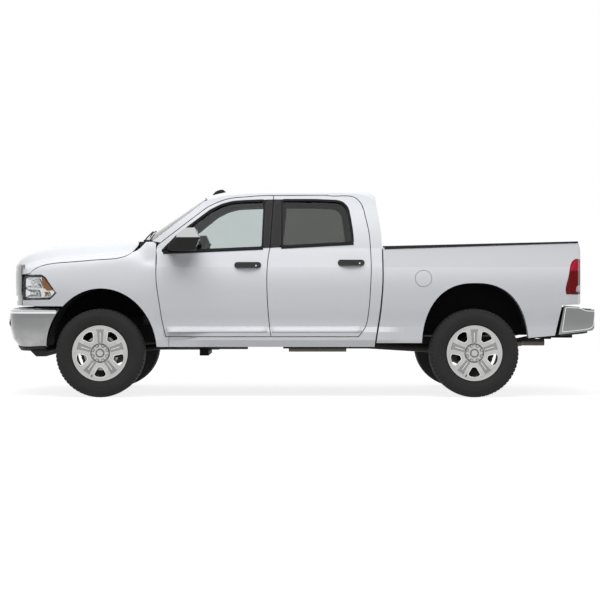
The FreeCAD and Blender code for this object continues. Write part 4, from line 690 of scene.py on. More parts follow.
class Shape:
    """A mesh under construction, from rings of points in the truck's frame, in metres."""

    def __init__(self, name: str) -> None:
        """Starts an empty mesh."""
        self.name = name
        self.work = bmesh.new()

    def ring(self, points: Sequence[Vector]) -> list[bmesh.types.BMVert]:
        """Adds a row of points."""
        return [self.work.verts.new(point) for point in points]

    def bridge(self, first: list, second: list, closed: bool = True) -> None:
        """Faces between two rows with the same number of points."""
        count = len(first)
        for index in range(count if closed else count - 1):
            after = (index + 1) % count
            self.work.faces.new((first[index], first[after], second[after], second[index]))

    def loft(self, rows: Sequence[Sequence[Vector]], closed: bool = True, capped: bool = True,
             looped: bool = False) -> "Shape":
        """A skin over rows of points.

        Args:
            rows: The rows, each with the same number of points.
            closed: Whether each row is a closed ring.
            capped: Whether the first and last ring are filled.
            looped: Whether the last row joins the first.

        Returns:
            This shape.
        """
        rings = [self.ring(row) for row in rows]
        for first, second in zip(rings, rings[1:]):
            self.bridge(first, second, closed)
        if looped:
            self.bridge(rings[-1], rings[0], closed)
        elif capped and closed:
            self.work.faces.new(rings[0])
            self.work.faces.new(list(reversed(rings[-1])))
        return self

    def sheet(self, rows: Sequence[Sequence[Vector]]) -> "Shape":
        """An open skin over rows of points."""
        return self.loft(rows, closed=False, capped=False)

    def slab(self, outline: Sequence[Vector], back: float, front: float) -> "Shape":
        """An outline of (y, z) pairs, held in X and Z of each point, between two places along X."""
        return self.loft([[Vector((x, p.x, p.z)) for p in outline] for x in (back, front)])

    def block(self, low: Vector, high: Vector) -> "Shape":
        """A six-sided block between two corners."""
        corners = ((low.x, low.y), (high.x, low.y), (high.x, high.y), (low.x, high.y))
        return self.loft([[Vector((x, y, z)) for x, y in corners] for z in (low.z, high.z)])

    def rib(self, skin: "Skin", places: Sequence[Pair], rise: float, radius: float) -> None:
        """A flattened bar laid over a skin seen from the top.

        Args:
            skin: What it lies on.
            places: The (x, y) places along it; those beside the skin are left out.
            rise: How far its middle stands above the skin.
            radius: Its half width.
        """
        hits = [skin.above(x, y) for x, y in places]
        path = [hit + Vector((0, 0, rise)) for hit in hits if hit is not None]
        if len(path) > 2:
            self.tube(path, radius, 6, flatten=0.5)

    def prism(self, outline: Sequence[Vector], near: float, far: float, chamfer: float = 0.0) -> "Shape":
        """A side outline drawn across the truck.

        Args:
            outline: The closed outline in the XZ plane.
            near: Y of one face.
            far: Y of the other face, which is the outer one.
            chamfer: Width of the bevel round the outer face.

        Returns:
            This shape.
        """
        rows = [[Vector((p.x, near, p.z)) for p in outline]]
        if chamfer:
            start = far - math.copysign(chamfer, far - near)
            rows.append([Vector((p.x, start, p.z)) for p in outline])
            middle = centre_of(outline)
            outline = [p + (middle - p).normalized() * chamfer for p in outline]
        rows.append([Vector((p.x, far, p.z)) for p in outline])
        return self.loft(rows)

    def tube(self, path: Sequence[Vector], radius: float, sides: int = 8, looped: bool = False,
             flatten: float = 1.0) -> "Shape":
        """A round bar along a path.

        Args:
            path: The centre line.
            radius: Its radius.
            sides: Faces round it.
            looped: Whether the path is closed.
            flatten: Share of the radius that is kept across the second direction.

        Returns:
            This shape.
        """
        rows = []
        count = len(path)
        normal = None
        for index, point in enumerate(path):
            before = path[index - 1] if looped or index else point
            after = path[(index + 1) % count] if looped or index < count - 1 else point
            along = (after - before).normalized()
            if normal is None:
                normal = along.orthogonal().normalized()
            normal = (normal - along * normal.dot(along)).normalized()
            other = along.cross(normal)
            rows.append([point + normal * math.cos(angle) * radius
                         + other * math.sin(angle) * radius * flatten for angle in angles(sides)])
        return self.loft(rows, looped=looped)

    def turned(self, profile: Sequence[Pair], centre: Vector, axis: Axis, steps: int) -> "Shape":
        """A closed profile turned about an axis.

        Args:
            profile: (radius, distance along the axis) pairs.
            centre: A point on the axis.
            axis: The axis.
            steps: Faces round it.

        Returns:
            This shape.
        """
        rows = []
        for angle in angles(steps):
            row = []
            for radius, along in profile:
                a = radius * math.cos(angle)
                b = radius * math.sin(angle)
                spot = {Axis.X: (along, a, b), Axis.Y: (a, along, b), Axis.Z: (a, b, along)}[axis]
                row.append(centre + Vector(spot))
            rows.append(row)
        return self.loft(rows, capped=False, looped=True)

    def hoop(self, radii: Pair, outs: Pair, centre: Vector, side: Side, steps: int) -> "Shape":
        """A flat ring round a wheel's axle.

        Args:
            radii: The inner and the outer radius.
            outs: How far its two faces stand out.
            centre: The wheel's centre.
            side: The side of the truck.
            steps: Faces round it.

        Returns:
            This shape.
        """
        (inner, outer), (low, high) = radii, outs
        return self.turned(sided(((inner, low), (inner, high), (outer, high), (outer, low)), side), centre,
                           Axis.Y, steps)

    def done(self, body: str, finish: Look, smooth: float = 35.0, bevel: float = 0.0,
             soften: int = 0, thick: float = 0.0) -> bpy.types.Object:
        """Turns the mesh into a piece that rides on a body.

        Args:
            body: The CAD body.
            finish: Its finish.
            smooth: Edges flatter than this, in degrees, are shaded smooth.
            bevel: Width of rounded edges.
            soften: Levels of subdivision.
            thick: Thickness given to an open sheet.

        Returns:
            The piece.
        """
        bmesh.ops.remove_doubles(self.work, verts=self.work.verts, dist=NEAR_ZERO)
        bmesh.ops.recalc_face_normals(self.work, faces=self.work.faces)
        mesh = bpy.data.meshes.new(self.name)
        self.work.to_mesh(mesh)
        self.work.free()
        piece = bpy.data.objects.new(self.name, mesh)
        bpy.context.scene.collection.objects.link(piece)
        mesh.materials.append(finish.material())
        mesh.shade_smooth()
        mesh.set_sharp_from_angle(angle=math.radians(smooth))
        if thick:
            modify(piece, "thickness", "SOLIDIFY", thickness=thick, offset=0.0)
        if bevel:
            modify(piece, "rounded_edges", "BEVEL", width=bevel, segments=2, limit_method="ANGLE")
        if soften:
            modify(piece, "soft_form", "SUBSURF", levels=soften, render_levels=soften)
        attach(piece, body)
        LOG.info("%s rides on %s", self.name, body)
        return piece


class Skin:
    """Finds the outer face of CAD nodes, so that trim lies on what carries it."""

    reach = 4.0

    def __init__(self, frame: dict, nodes: Sequence[str]) -> None:
        """Reads the faces of some nodes.

        Args:
            nodes: The nodes' names.
        """
        points: list[Vector] = []
        faces: list[list[int]] = []
        for name in nodes:
            mesh = frame["nodes"][name].data
            start = len(points)
            points += [vertex.co.copy() for vertex in mesh.vertices]
            faces += [[start + index for index in face.vertices] for face in mesh.polygons]
        self.tree = BVHTree.FromPolygons(points, faces)

    def cast(self, start: Vector, way: Vector) -> Optional[Vector]:
        """The first point met from a start, or None."""
        return self.tree.ray_cast(start, way)[0]

    def beside(self, x: float, z: float, side: Side) -> Optional[Vector]:
        """The skin's point seen from a side."""
        return self.cast(Vector((x, side.value * self.reach, z)), Vector((0, -side.value, 0)))

    def above(self, x: float, y: float) -> Optional[Vector]:
        """The skin's point seen from the top."""
        return self.cast(Vector((x, y, self.reach)), Vector((0, 0, -1)))

    def ahead(self, y: float, z: float) -> Optional[Vector]:
        """The skin's point seen from the front."""
        return self.cast(Vector((-self.reach, y, z)), Vector((1, 0, 0)))

    def behind(self, y: float, z: float) -> Optional[Vector]:
        """The skin's point seen from the back."""
        return self.cast(Vector((self.reach, y, z)), Vector((-1, 0, 0)))


@dataclass
class CabProfile:
    """How far the side of the cab stands out at each height, read on both sides of the door split."""

    skin: Skin
    places: tuple = (-0.318, -0.262, -0.246)
    base: float = 0.600
    top: float = 2.020
    step: float = 0.005
    first_out: float = 0.94
    largest_jump: float = 0.05

    def __post_init__(self) -> None:
        """Reads the skin from the base up; a height in a gap keeps the one below it."""
        self.levels: list[float] = []
        count = round((self.top - self.base) / self.step) + 1
        for index in range(count):
            hits = [self.skin.beside(x, self.base + index * self.step, Side.LEFT) for x in self.places]
            outs = [abs(hit.y) for hit in hits if hit is not None]
            previous = self.levels[-1] if self.levels else self.first_out
            best = max(outs) if outs else previous
            self.levels.append(best if abs(best - previous) < self.largest_jump else previous)

    def out(self, z: float) -> float:
        """The distance from the middle at a height."""
        place = min(max((z - self.base) / self.step, 0.0), len(self.levels) - 1.001)
        index = int(place)
        share = place - index
        return blend(self.levels[index], self.levels[index + 1], share)

    def point(self, spot: Vector, side: Side, depth: float = 0.0) -> Vector:
        """A point of an outline moved out to the skin."""
        return Vector((spot.x, side.value * (self.out(spot.z) - depth), spot.z))


@dataclass
class DoorTrim:
    """Window channels, post covers, foot ledges, seals, handles and belts of the four doors."""

    profile: CabProfile
    channel_out: float = 0.005
    channel_in: float = 0.017
    channel_height: float = 0.003
    channel_depth: float = 0.020
    corner_radius: float = 0.03
    window_step: float = 0.05
    front_window: tuple = ((-0.347, 1.463), (-0.327, 1.947), (-0.531, 1.940), (-0.645, 1.932),
                           (-0.759, 1.902), (-0.876, 1.842), (-1.185, 1.601), (-1.342, 1.439),
                           (-1.326, 1.420))
    rear_window: tuple = ((-0.170, 1.472), (0.542, 1.511), (0.535, 1.625), (0.515, 1.764), (0.495, 1.867),
                          (0.448, 1.920), (0.392, 1.940), (0.175, 1.950), (-0.168, 1.950))
    post_split: tuple = ((-0.280, 1.466), (-0.246, 1.950))
    post_front: tuple = ((-0.347, 1.463), (-0.327, 1.947))
    post_rear: tuple = ((-0.170, 1.472), (-0.168, 1.950))
    gap: float = 0.0032
    cover_height: float = 0.002
    cover_thick: float = 0.003
    cover_steps: tuple = (12, 3)
    ledge_spans: tuple = (("front", -1.285, -0.305), ("rear", -0.262, 0.615))
    ledge_section: tuple = ((0.694, 0.0), (0.656, 0.0115), (0.643, 0.0075), (0.637, -0.002))
    ledge_start: float = -1.285
    ledge_rise: float = 0.5
    ledge_least: float = 0.15
    ledge_steps: int = 16
    ledge_thick: float = 0.001
    ledge_crease: float = 12.0
    front_seal: tuple = ((-1.395, 1.401), (-1.393, 1.269), (-1.383, 1.064), (-1.360, 0.916), (-1.337, 0.764),
                         (-1.308, 0.634), (-1.299, 0.594), (-0.269, 0.594), (-0.282, 0.690), (-0.300, 0.892),
                         (-0.309, 1.172), (-0.300, 1.340), (-0.280, 1.466), (-0.244, 1.990), (-0.417, 1.985),
                         (-0.531, 1.975), (-0.645, 1.966), (-0.759, 1.937), (-0.921, 1.857))
    rear_seal: tuple = ((-0.269, 0.594), (0.585, 0.594), (0.618, 0.634), (0.654, 0.690), (0.681, 0.801),
                        (0.697, 0.947), (0.706, 1.114), (0.712, 1.285), (0.708, 1.453), (0.694, 1.625),
                        (0.663, 1.775), (0.618, 1.915), (0.564, 1.967), (0.461, 1.986), (0.289, 1.993),
                        (-0.244, 1.990))
    seal_radius: float = 0.003
    seal_depth: float = 0.012
    seal_step: float = 0.06
    handle_size: Pair = (0.262, 0.070)
    handle_places: tuple = (("front", -0.496, 1.289), ("rear", 0.516, 1.312))
    plate_outs: Pair = (-0.01, 0.004)
    plate_chamfer: float = 0.003
    plate_corner_steps: int = 6
    handle_bar: tuple = (0.250, 0.025, 0.013)
    bar_foot: float = 0.006
    bar_end_share: float = 0.75
    bar_steps: int = 15
    bar_sides: int = 12
    handle_stand: float = 0.030
    lock_share: float = 0.62
    lock_profile: tuple = ((0.0001, 0.0), (0.0075, 0.0), (0.0075, 0.0115), (0.0001, 0.0125))
    lock_steps: int = 16
    belts: tuple = (("front", (-1.326, 1.420), (-0.347, 1.463)), ("rear", (-0.170, 1.472), (0.542, 1.511)))
    belt_drop: float = 0.016
    belt_rise: float = 0.004
    belt_outs: Pair = (0.003, 0.006)
    belt_thick: float = 0.004
    belt_steps: int = 14

    def door(self, place: str, side: Side) -> str:
        """The name of a door's body."""
        return f"{place}_door_{side.word}"

    def channel(self, place: str, window: Sequence[Pair], side: Side) -> None:
        """A black channel round a window opening."""
        outline = refined(rounded(window, self.corner_radius), self.window_step)
        outer = offset_outline(outline, -self.channel_out)
        inner = offset_outline(outline, self.channel_in)
        rows = [[self.profile.point(p, side, depth) for p in edge]
                for edge, depth in ((outer, self.channel_depth), (outer, -self.channel_height),
                                    (inner, -self.channel_height), (inner, self.channel_depth))]
        Shape(f"{place}_channel_{side.word}").loft(rows, looped=True).done(self.door(place, side), SEAL)

    def cover(self, place: str, near: Sequence[Pair], far: Sequence[Pair], side: Side) -> None:
        """A black post cover between two upright lines."""
        up, across = self.cover_steps
        rows = []
        for one, two in zip(between(*flat(near), up), between(*flat(far), up)):
            rows.append([self.profile.point(p, side, -self.cover_height) for p in between(one, two, across)])
        name = f"{place}_post_cover_{side.word}"
        Shape(name).sheet(rows).done(self.door(place, side), GLOSS_BLACK, thick=self.cover_thick)

    def ledge(self, place: str, start: float, end: float, side: Side) -> None:
        """The raised ledge along the foot of a door, which thins out towards the front wheel."""
        rows = []
        for share in in_turn(self.ledge_steps):
            x = blend(start, end, share)
            grow = min(1.0, max(self.ledge_least, (x - self.ledge_start) / self.ledge_rise))
            rows.append([self.profile.point(Vector((x, 0.0, z)), side, -out * grow)
                         for z, out in self.ledge_section])
        Shape(f"{place}_ledge_{side.word}").sheet(rows).done(self.door(place, side), PAINT,
                                                             smooth=self.ledge_crease, thick=self.ledge_thick)

    def seal(self, place: str, outline: Sequence[Pair], side: Side) -> None:
        """A dark seal in the gap round a door."""
        path = refined(flat(outline), self.seal_step)
        spots = [self.profile.point(p, side, self.seal_depth) for p in path]
        Shape(f"{place}_seal_{side.word}").tube(spots, self.seal_radius, 6, looped=True).done(ROOT, GAP_SEAL)

    def handle(self, place: str, x: float, z: float, side: Side) -> None:
        """A black pull handle over its plate, with a lock in lighter chrome that paints in a highlight."""
        name, body, way = f"{place}_handle_{side.word}", self.door(place, side), side.value
        skin_y = self.profile.out(z)
        length, height = self.handle_size
        plate = panel(length, height, (x, z), height / 2, self.plate_corner_steps)
        low, high = (way * (skin_y + out) for out in self.plate_outs)
        Shape(name + "_plate").prism(plate, low, high, self.plate_chamfer).done(body, PLASTIC)
        bar_length, bar_half, bar_thick = self.handle_bar
        rows = []
        for share in in_turn(self.bar_steps):
            arch = math.sin(math.pi * share) ** 0.5
            grow = blend(self.bar_end_share, 1.0, arch)
            out = skin_y + self.bar_foot + self.handle_stand * arch
            middle = Vector((x + (share - 0.5) * bar_length, way * out, z))
            rows.append([middle + grow * Vector((0, way * bar_thick * math.cos(angle),
                                                 bar_half * math.sin(angle)))
                         for angle in angles(self.bar_sides)])
        Shape(name + "_bar").loft(rows).done(body, GLOSS_BLACK)
        lock = Vector((x + length / 2 * self.lock_share, way * (skin_y + self.handle_stand), z))
        profile = sided(self.lock_profile, side)
        Shape(name + "_lock").turned(profile, lock, Axis.Y, self.lock_steps).done(body, CHROME_PAINTED_HIGHLIGHT)

    def belt(self, place: str, start: Pair, end: Pair, side: Side) -> None:
        """A black belt strip under a window."""
        rows = []
        for spot in between(*flat((start, end)), self.belt_steps):
            rows.append([self.profile.point(spot + Vector((0, 0, rise)), side, -out)
                         for rise, out in zip((-self.belt_drop, self.belt_rise), self.belt_outs)])
        name = f"{place}_belt_{side.word}"
        Shape(name).sheet(rows).done(self.door(place, side), SEAL, thick=self.belt_thick)

    def build(self) -> None:
        """Builds the trim of both sides."""
        ahead, after = ([(x + hand * self.gap, z) for x, z in self.post_split] for hand in (-1, 1))
        for side in Side:
            self.channel("front", self.front_window, side)
            self.channel("rear", self.rear_window, side)
            self.cover("front", self.post_front, ahead, side)
            self.cover("rear", after, self.post_rear, side)
            for place, start, end in self.ledge_spans:
                self.ledge(place, start, end, side)
            self.seal("front", self.front_seal, side)
            self.seal("rear", self.rear_seal, side)
            for place, x, z in self.handle_places:
                self.handle(place, x, z, side)
            for place, start, end in self.belts:
                self.belt(place, start, end, side)


@dataclass
class WheelDress:
    """Tyres with tread, and the beads, pads, nuts and discs of the wheels."""

    axles: tuple = ((End.FRONT, -1.940), (End.REAR, 1.720))
    track: float = 1.735
    radius: float = 0.433
    floor: float = 0.424
    carcass: tuple = ((0.2566, 0.100), (0.2722, 0.101), (0.276, 0.109), (0.284, 0.116), (0.290, 0.1205),
                      (0.296, 0.1205), (0.302, 0.123), (0.325, 0.1315), (0.333, 0.1335), (0.336, 0.1330),
                      (0.352, 0.1370), (0.378, 0.1368), (0.381, 0.1352), (0.400, 0.1300), (0.412, 0.1240),
                      (0.4185, 0.1180), (0.424, 0.1060))
    ribs: tuple = ((-0.0565, -0.0215, 0.0), (-0.0165, 0.0165, 0.5), (0.0215, 0.0565, 0.0))
    shoulder: tuple = (0.0615, 0.108, 0.119, 0.1295)
    shoulder_radii: tuple = (0.433, 0.4318, 0.4265, 0.4045)
    shoulder_foot: float = 0.398
    shoulder_tuck: float = 0.985
    shoulder_shifts: tuple = ((-1, 0.25), (1, 0.75))
    block_sink: float = 0.004
    pitches: int = 66
    block_share: float = 0.78
    slant: float = 0.70
    tyre_steps: int = 96
    tyre_crease: float = 30.0
    window_outline: tuple = ((0.140, -0.0207), (0.1362, 0.0), (0.140, 0.0207), (0.1745, 0.0425),
                             (0.2027, 0.0578), (0.219, 0.0543), (0.234, 0.0325), (0.2387, 0.0),
                             (0.234, -0.0325), (0.219, -0.0543), (0.2027, -0.0578), (0.1745, -0.0425))
    face_levels: tuple = ((0.094, 0.088), (0.187, 0.0825), (0.245, 0.102))
    spokes: int = 5
    first_window: float = 270.0
    first_spoke: float = 90.0
    bead: float = 0.0038
    bead_sink_share: float = 0.3
    pad_outline: tuple = ((0.104, 0.026), (0.150, 0.026), (0.205, 0.030), (0.232, 0.040))
    pad_sink: float = 0.002
    pad_height: float = 0.0035
    pad_crown_share: float = 0.88
    pad_bevel: float = 0.0012
    ridge_radii: tuple = (0.112, 0.140, 0.170, 0.200)
    ridge: float = 0.0042
    rim_ring: tuple = ((0.2380, 0.0990), (0.2400, 0.1035), (0.2440, 0.1035), (0.2455, 0.0990))
    lug_circle: float = 0.075
    lugs: int = 8
    # Black rings round the nuts: painted shade of their recesses.
    socket_radii: Pair = (0.0125, 0.0165)
    socket_outs: Pair = (0.104, 0.107)
    nut: tuple = ((0.0005, 0.1165), (0.0098, 0.1165), (0.0112, 0.1150), (0.0120, 0.108), (0.0005, 0.108))
    cap_radii: Pair = (0.044, 0.048)
    cap_outs: Pair = (0.104, 0.1075)
    # A dark ring on the face round the centre cap: painted shade.
    cap_groove: tuple = ((0.0885, 0.0885), (0.0885, 0.0925), (0.0955, 0.0895), (0.0955, 0.0868))
    disc_radii: Pair = (0.082, 0.172)
    disc_outs: Pair = (0.0022, 0.0052)
    valve_angle: float = math.radians(250.0)
    valve_ends: tuple = ((0.241, 0.098), (0.225, 0.116))
    valve_radius: float = 0.0045

    def face(self, radius: float) -> float:
        """How far the wheel's face stands out at a radius."""
        for (r0, o0), (r1, o1) in zip(self.face_levels, self.face_levels[1:]):
            if radius <= r1 or r1 == self.face_levels[-1][0]:
                share = min(1.0, max(0.0, (radius - r0) / (r1 - r0)))
                return o0 + share * (o1 - o0)
        return self.face_levels[-1][1]

    def spot(self, centre: Vector, side: Side, radius: float, angle: float, out: float) -> Vector:
        """A point of a wheel."""
        return centre + Vector((radius * math.cos(angle), side.value * out, radius * math.sin(angle)))

    def block(self, shape: Shape, centre: Vector, side: Side, middle: float, section: Sequence[Pair],
              slant: float) -> None:
        """One tread block: a section of (radius, out) pairs swept over part of a pitch."""
        half = math.pi / self.pitches * self.block_share
        shape.loft([[self.spot(centre, side, radius, middle + end * half + slant * out, out)
                     for radius, out in section] for end in (-1, 1)])

    def tyre(self, name: str, centre: Vector, side: Side) -> None:
        """A tyre with ribs, shoulder blocks and sidewall rings."""
        shape = Shape("tread_" + name)
        outer = list(self.carcass)
        inner = [(radius, -out) for radius, out in reversed(outer)]
        shape.turned(sided(outer + inner, side), centre, Axis.Y, self.tyre_steps)
        pitch = 2 * math.pi / self.pitches
        deep = self.floor - self.block_sink
        for index in range(self.pitches):
            for low, high, shift in self.ribs:
                section = ((deep, low), (self.radius, low), (self.radius, high), (deep, high))
                self.block(shape, centre, side, (index + shift) * pitch, section, self.slant)
            for hand, shift in self.shoulder_shifts:
                outs = [hand * out for out in self.shoulder]
                section = [(deep, outs[0]), *zip(self.shoulder_radii, outs),
                           (self.shoulder_foot, outs[-1] * self.shoulder_tuck)]
                self.block(shape, centre, side, (index + shift) * pitch, section, 0.0)
        piece = shape.done("wheel_" + name, RUBBER, smooth=self.tyre_crease)
        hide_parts("tyre_" + name)

    def turns(self, first: float) -> list[float]:
        """One angle for each spoke, from a first one in degrees."""
        return [math.radians(first) + angle for angle in angles(self.spokes)]

    def beads(self, name: str, centre: Vector, side: Side) -> None:
        """Rounded edges round the wheel's five windows, in lighter alloy as a painted highlight."""
        for index, turn in enumerate(self.turns(self.first_window)):
            points = []
            for radius, across in self.window_outline:
                reach = math.hypot(radius, across)
                out = self.face(reach) - self.bead * self.bead_sink_share
                points.append(self.spot(centre, side, reach, turn + math.atan2(across, radius), out))
            shape = Shape(f"window_bead_{name}_{index}")
            shape.tube(smooth_path(points, 4, closed=True), self.bead, 8, looped=True)
            shape.done("wheel_" + name, ALLOY_PAINTED_HIGHLIGHT)

    def pads(self, name: str, centre: Vector, side: Side) -> None:
        """The raised flat of each spoke, and the ridge along it in lighter alloy as a painted highlight."""
        for index, turn in enumerate(self.turns(self.first_spoke)):
            rows = []
            for radius, half in self.pad_outline:
                angle, face = half / radius, self.face(radius)
                crown = angle * self.pad_crown_share
                rows.append([self.spot(centre, side, radius, turn + off, face + out)
                             for off, out in ((-angle, -self.pad_sink), (-crown, self.pad_height),
                                              (crown, self.pad_height), (angle, -self.pad_sink))])
            Shape(f"spoke_pad_{name}_{index}").loft(rows).done("wheel_" + name, ALLOY_DARK,
                                                               bevel=self.pad_bevel)
            crest = [self.spot(centre, side, radius, turn, self.face(radius) + self.pad_height)
                     for radius in self.ridge_radii]
            ridge = Shape(f"spoke_ridge_{name}_{index}").tube(crest, self.ridge, 8)
            ridge.done("wheel_" + name, ALLOY_PAINTED_HIGHLIGHT)

    def centre_cap(self, name: str, centre: Vector, side: Side) -> None:
        """The nuts on black rings of painted shade, the chrome ring of the cap, a rim ring in lighter alloy
        as a painted highlight, and a dark ring of painted shade on the face round the cap.
        """
        body = "wheel_" + name
        for index in range(self.lugs):
            angle = 2 * math.pi * (index + 0.5) / self.lugs
            middle = self.spot(centre, side, self.lug_circle, angle, 0.0)
            # A black ring of painted shade round the nut.
            socket = Shape(f"lug_socket_{name}_{index}")
            socket.hoop(self.socket_radii, self.socket_outs, middle, side, 20).done(body, GLOSS_BLACK)
            nut = Shape(f"lug_nut_{name}_{index}")
            nut.turned(sided(self.nut, side), middle, Axis.Y, 6).done(body, CHROME)
        Shape("cap_ring_" + name).hoop(self.cap_radii, self.cap_outs, centre, side, 48).done(body, CHROME)
        for label, profile, steps, finish in (("rim_ring_", self.rim_ring, 72, ALLOY_PAINTED_HIGHLIGHT),
                                              ("cap_shadow_", self.cap_groove, 64, LAMP_DARK)):
            Shape(label + name).turned(sided(profile, side), centre, Axis.Y, steps).done(body, finish)

    def brake(self, name: str, centre: Vector, side: Side, body: str) -> None:
        """The bright face of the brake disc behind the spokes, and the valve."""
        Shape("brake_face_" + name).hoop(self.disc_radii, self.disc_outs, centre, side, 64).done(body, STEEL)
        foot, tip = (self.spot(centre, side, radius, self.valve_angle, out)
                     for radius, out in self.valve_ends)
        valve = Shape("valve_" + name).tube(between(foot, tip, 3), self.valve_radius, 8)
        valve.done("wheel_" + name, SEAL)

    def build(self) -> None:
        """Dresses all four corners."""
        for end, x in self.axles:
            for side in Side:
                name = f"{end.word}_{side.word}"
                centre = Vector((x, side.value * self.track / 2, self.radius))
                self.tyre(name, centre, side)
                self.beads(name, centre, side)
                self.pads(name, centre, side)
                self.centre_cap(name, centre, side)
                self.brake(name, centre, side, "knuckle_" + side.word if end is End.FRONT else ROOT)


class Draped:
    """Patches and strips that lie on a CAD face seen from one way."""

    ring_shares = (1.0, 0.85, 0.65, 0.45, 0.25, 0.06)
    retry_share = 0.97
    rim_share = 0.012

    def __init__(self, look: Callable[[float, float], Optional[Vector]], inward: Vector) -> None:
        """Sets where the pieces are seen from."""
        self.look = look
        self.inward = inward

    def find(self, middle: Vector, point: Vector, share: float) -> Optional[Vector]:
        """The face's point at a share of the way from a middle to a point, or one a little nearer.

        Args:
            middle: The outline's middle.
            point: A point of the outline.
            share: The share of the way.

        Returns:
            The point, or None where both miss.
        """
        for part in (share, share * self.retry_share):
            spot = middle.lerp(point, part)
            hit = self.look(spot.x, spot.z)
            if hit is not None:
                return hit
        return None

    def patch(self, name: str, outline: Sequence[Vector], body: str, finish: Look, depth: float,
              bowl: float = 0.0, thick: float = 0.0015) -> None:
        """A patch over an outline, flat on the face or bowled inward.

        Args:
            name: The piece's name.
            outline: The outline, in the plane of the two coordinates (x and z of each point).
            body: The body that it rides on.
            finish: Its finish.
            depth: How far inside the face its rim lies.
            bowl: How much deeper its middle lies.
            thick: Its thickness.
        """
        middle = centre_of(outline)
        rows = []
        for share in self.ring_shares:
            hits = [self.find(middle, point, share) for point in outline]
            if any(hit is None for hit in hits):
                LOG.warning("%s misses its face", name)
                return
            rows.append([hit + self.inward * (depth + bowl * (1 - share * share)) for hit in hits])
        shape = Shape(name)
        rings = [shape.ring(row) for row in rows]
        for first, second in zip(rings, rings[1:]):
            shape.bridge(first, second)
        shape.work.faces.new(rings[-1])
        shape.done(body, finish, thick=thick)

    def strip(self, name: str, outline: Sequence[Vector], width: float, finish: Finish,
              height: float = 0.0015, sink: float = 0.006) -> None:
        """A closed strip just inside an outline, on the truck itself.

        Args:
            name: The piece's name.
            outline: The closed outline.
            width: The strip's width.
            finish: Its finish.
            height: How far it stands proud.
            sink: How far it reaches into the face.
        """
        middle = centre_of(outline)
        rows: list[list[Vector]] = [[], [], [], []]
        for point in outline:
            way = middle - point
            near, far = (point + way * (share + self.rim_share) for share in (0.0, width / way.length))
            outer, inner = self.look(near.x, near.z), self.look(far.x, far.z)
            if outer is None or inner is None:
                LOG.warning("%s misses its face", name)
                return
            for row, hit, out in zip(rows, (outer, outer, inner, inner), (-sink, height, height, -sink)):
                row.append(hit - self.inward * out)
        Shape(name).loft(rows, looped=True).done(ROOT, finish)


@dataclass
class HeadLampDress:
    """What shows behind the clear lens of a head lamp, and the dark edge round it."""

    frame: dict
    outline: tuple = ((-2.716, 1.195), (-2.518, 1.193), (-2.481, 1.170), (-2.419, 1.082), (-2.374, 1.022),
                      (-2.403, 0.992), (-2.436, 0.963), (-2.705, 0.958))
    amber: tuple = ((-2.522, 1.172), (-2.485, 1.170), (-2.404, 1.062), (-2.430, 1.042), (-2.472, 1.044),
                    (-2.508, 1.110))
    upper_bowl: tuple = ((-2.690, 1.170), (-2.555, 1.170), (-2.500, 1.062), (-2.690, 1.075))
    lower_bowl: tuple = ((-2.690, 1.060), (-2.560, 1.050), (-2.540, 0.985), (-2.690, 0.982))
    side_bulb: tuple = ((-2.510, 1.035), (-2.450, 1.035), (-2.440, 0.985), (-2.510, 0.985))
    corner: float = 0.02
    step: float = 0.04
    edge: float = 0.006
    inward: Pair = (0.25, 1.0)
    housing_share: float = 0.04
    housing_depth: float = 0.034
    housing_bowl: float = 0.006
    part_corner: float = 0.015
    part_step: float = 0.03
    bulbs: tuple = (("high", -2.615, 1.125, 0.020, LENS), ("low", -2.625, 1.020, 0.018, LENS),
                    ("marker", -2.480, 1.012, 0.016, AMBER))
    bulb_depth: float = 0.030
    bulb_shape: tuple = ((0.0, -1.0), (0.7, -0.7), (1.0, 0.0), (0.7, 0.7), (0.0, 1.0))
    bulb_bore: float = 0.0005

    def build(self) -> None:
        """Builds both lamps."""
        skin = Skin(self.frame, ["headlamps"])
        whole = refined(rounded(self.outline, self.corner), self.step)
        middle = centre_of(whole)
        shrunk = [p.lerp(middle, self.housing_share) for p in whole]
        parts = (("upper_bowl", self.upper_bowl, LAMP_SILVER, 0.012, 0.022),
                 ("lower_bowl", self.lower_bowl, LAMP_SILVER, 0.012, 0.022),
                 ("amber", self.amber, AMBER, 0.010, 0.006),
                 ("side_bulb", self.side_bulb, LAMP_SILVER, 0.014, 0.012))
        for side in Side:
            word = side.word
            inward = Vector((self.inward[0], -side.value * self.inward[1], 0.0)).normalized()
            lamp = Draped(lambda x, z, s=side: skin.beside(x, z, s), inward)
            lamp.strip("lamp_edge_" + word, whole, self.edge, LAMP_DARK)
            lamp.patch("lamp_housing_" + word, shrunk, ROOT, LAMP_SILVER, self.housing_depth,
                       self.housing_bowl)
            for label, points, finish, depth, bowl in parts:
                outline = refined(rounded(points, self.part_corner), self.part_step)
                lamp.patch(f"lamp_{label}_{word}", outline, ROOT, finish, depth, bowl)
            for label, x, z, radius, finish in self.bulbs:
                spot = skin.beside(x, z, side) + inward * self.bulb_depth
                bulb = [(max(self.bulb_bore, radius * a), radius * b) for a, b in self.bulb_shape]
                Shape(f"lamp_{label}_bulb_{word}").turned(bulb, spot, Axis.Y, 20).done(ROOT, finish)


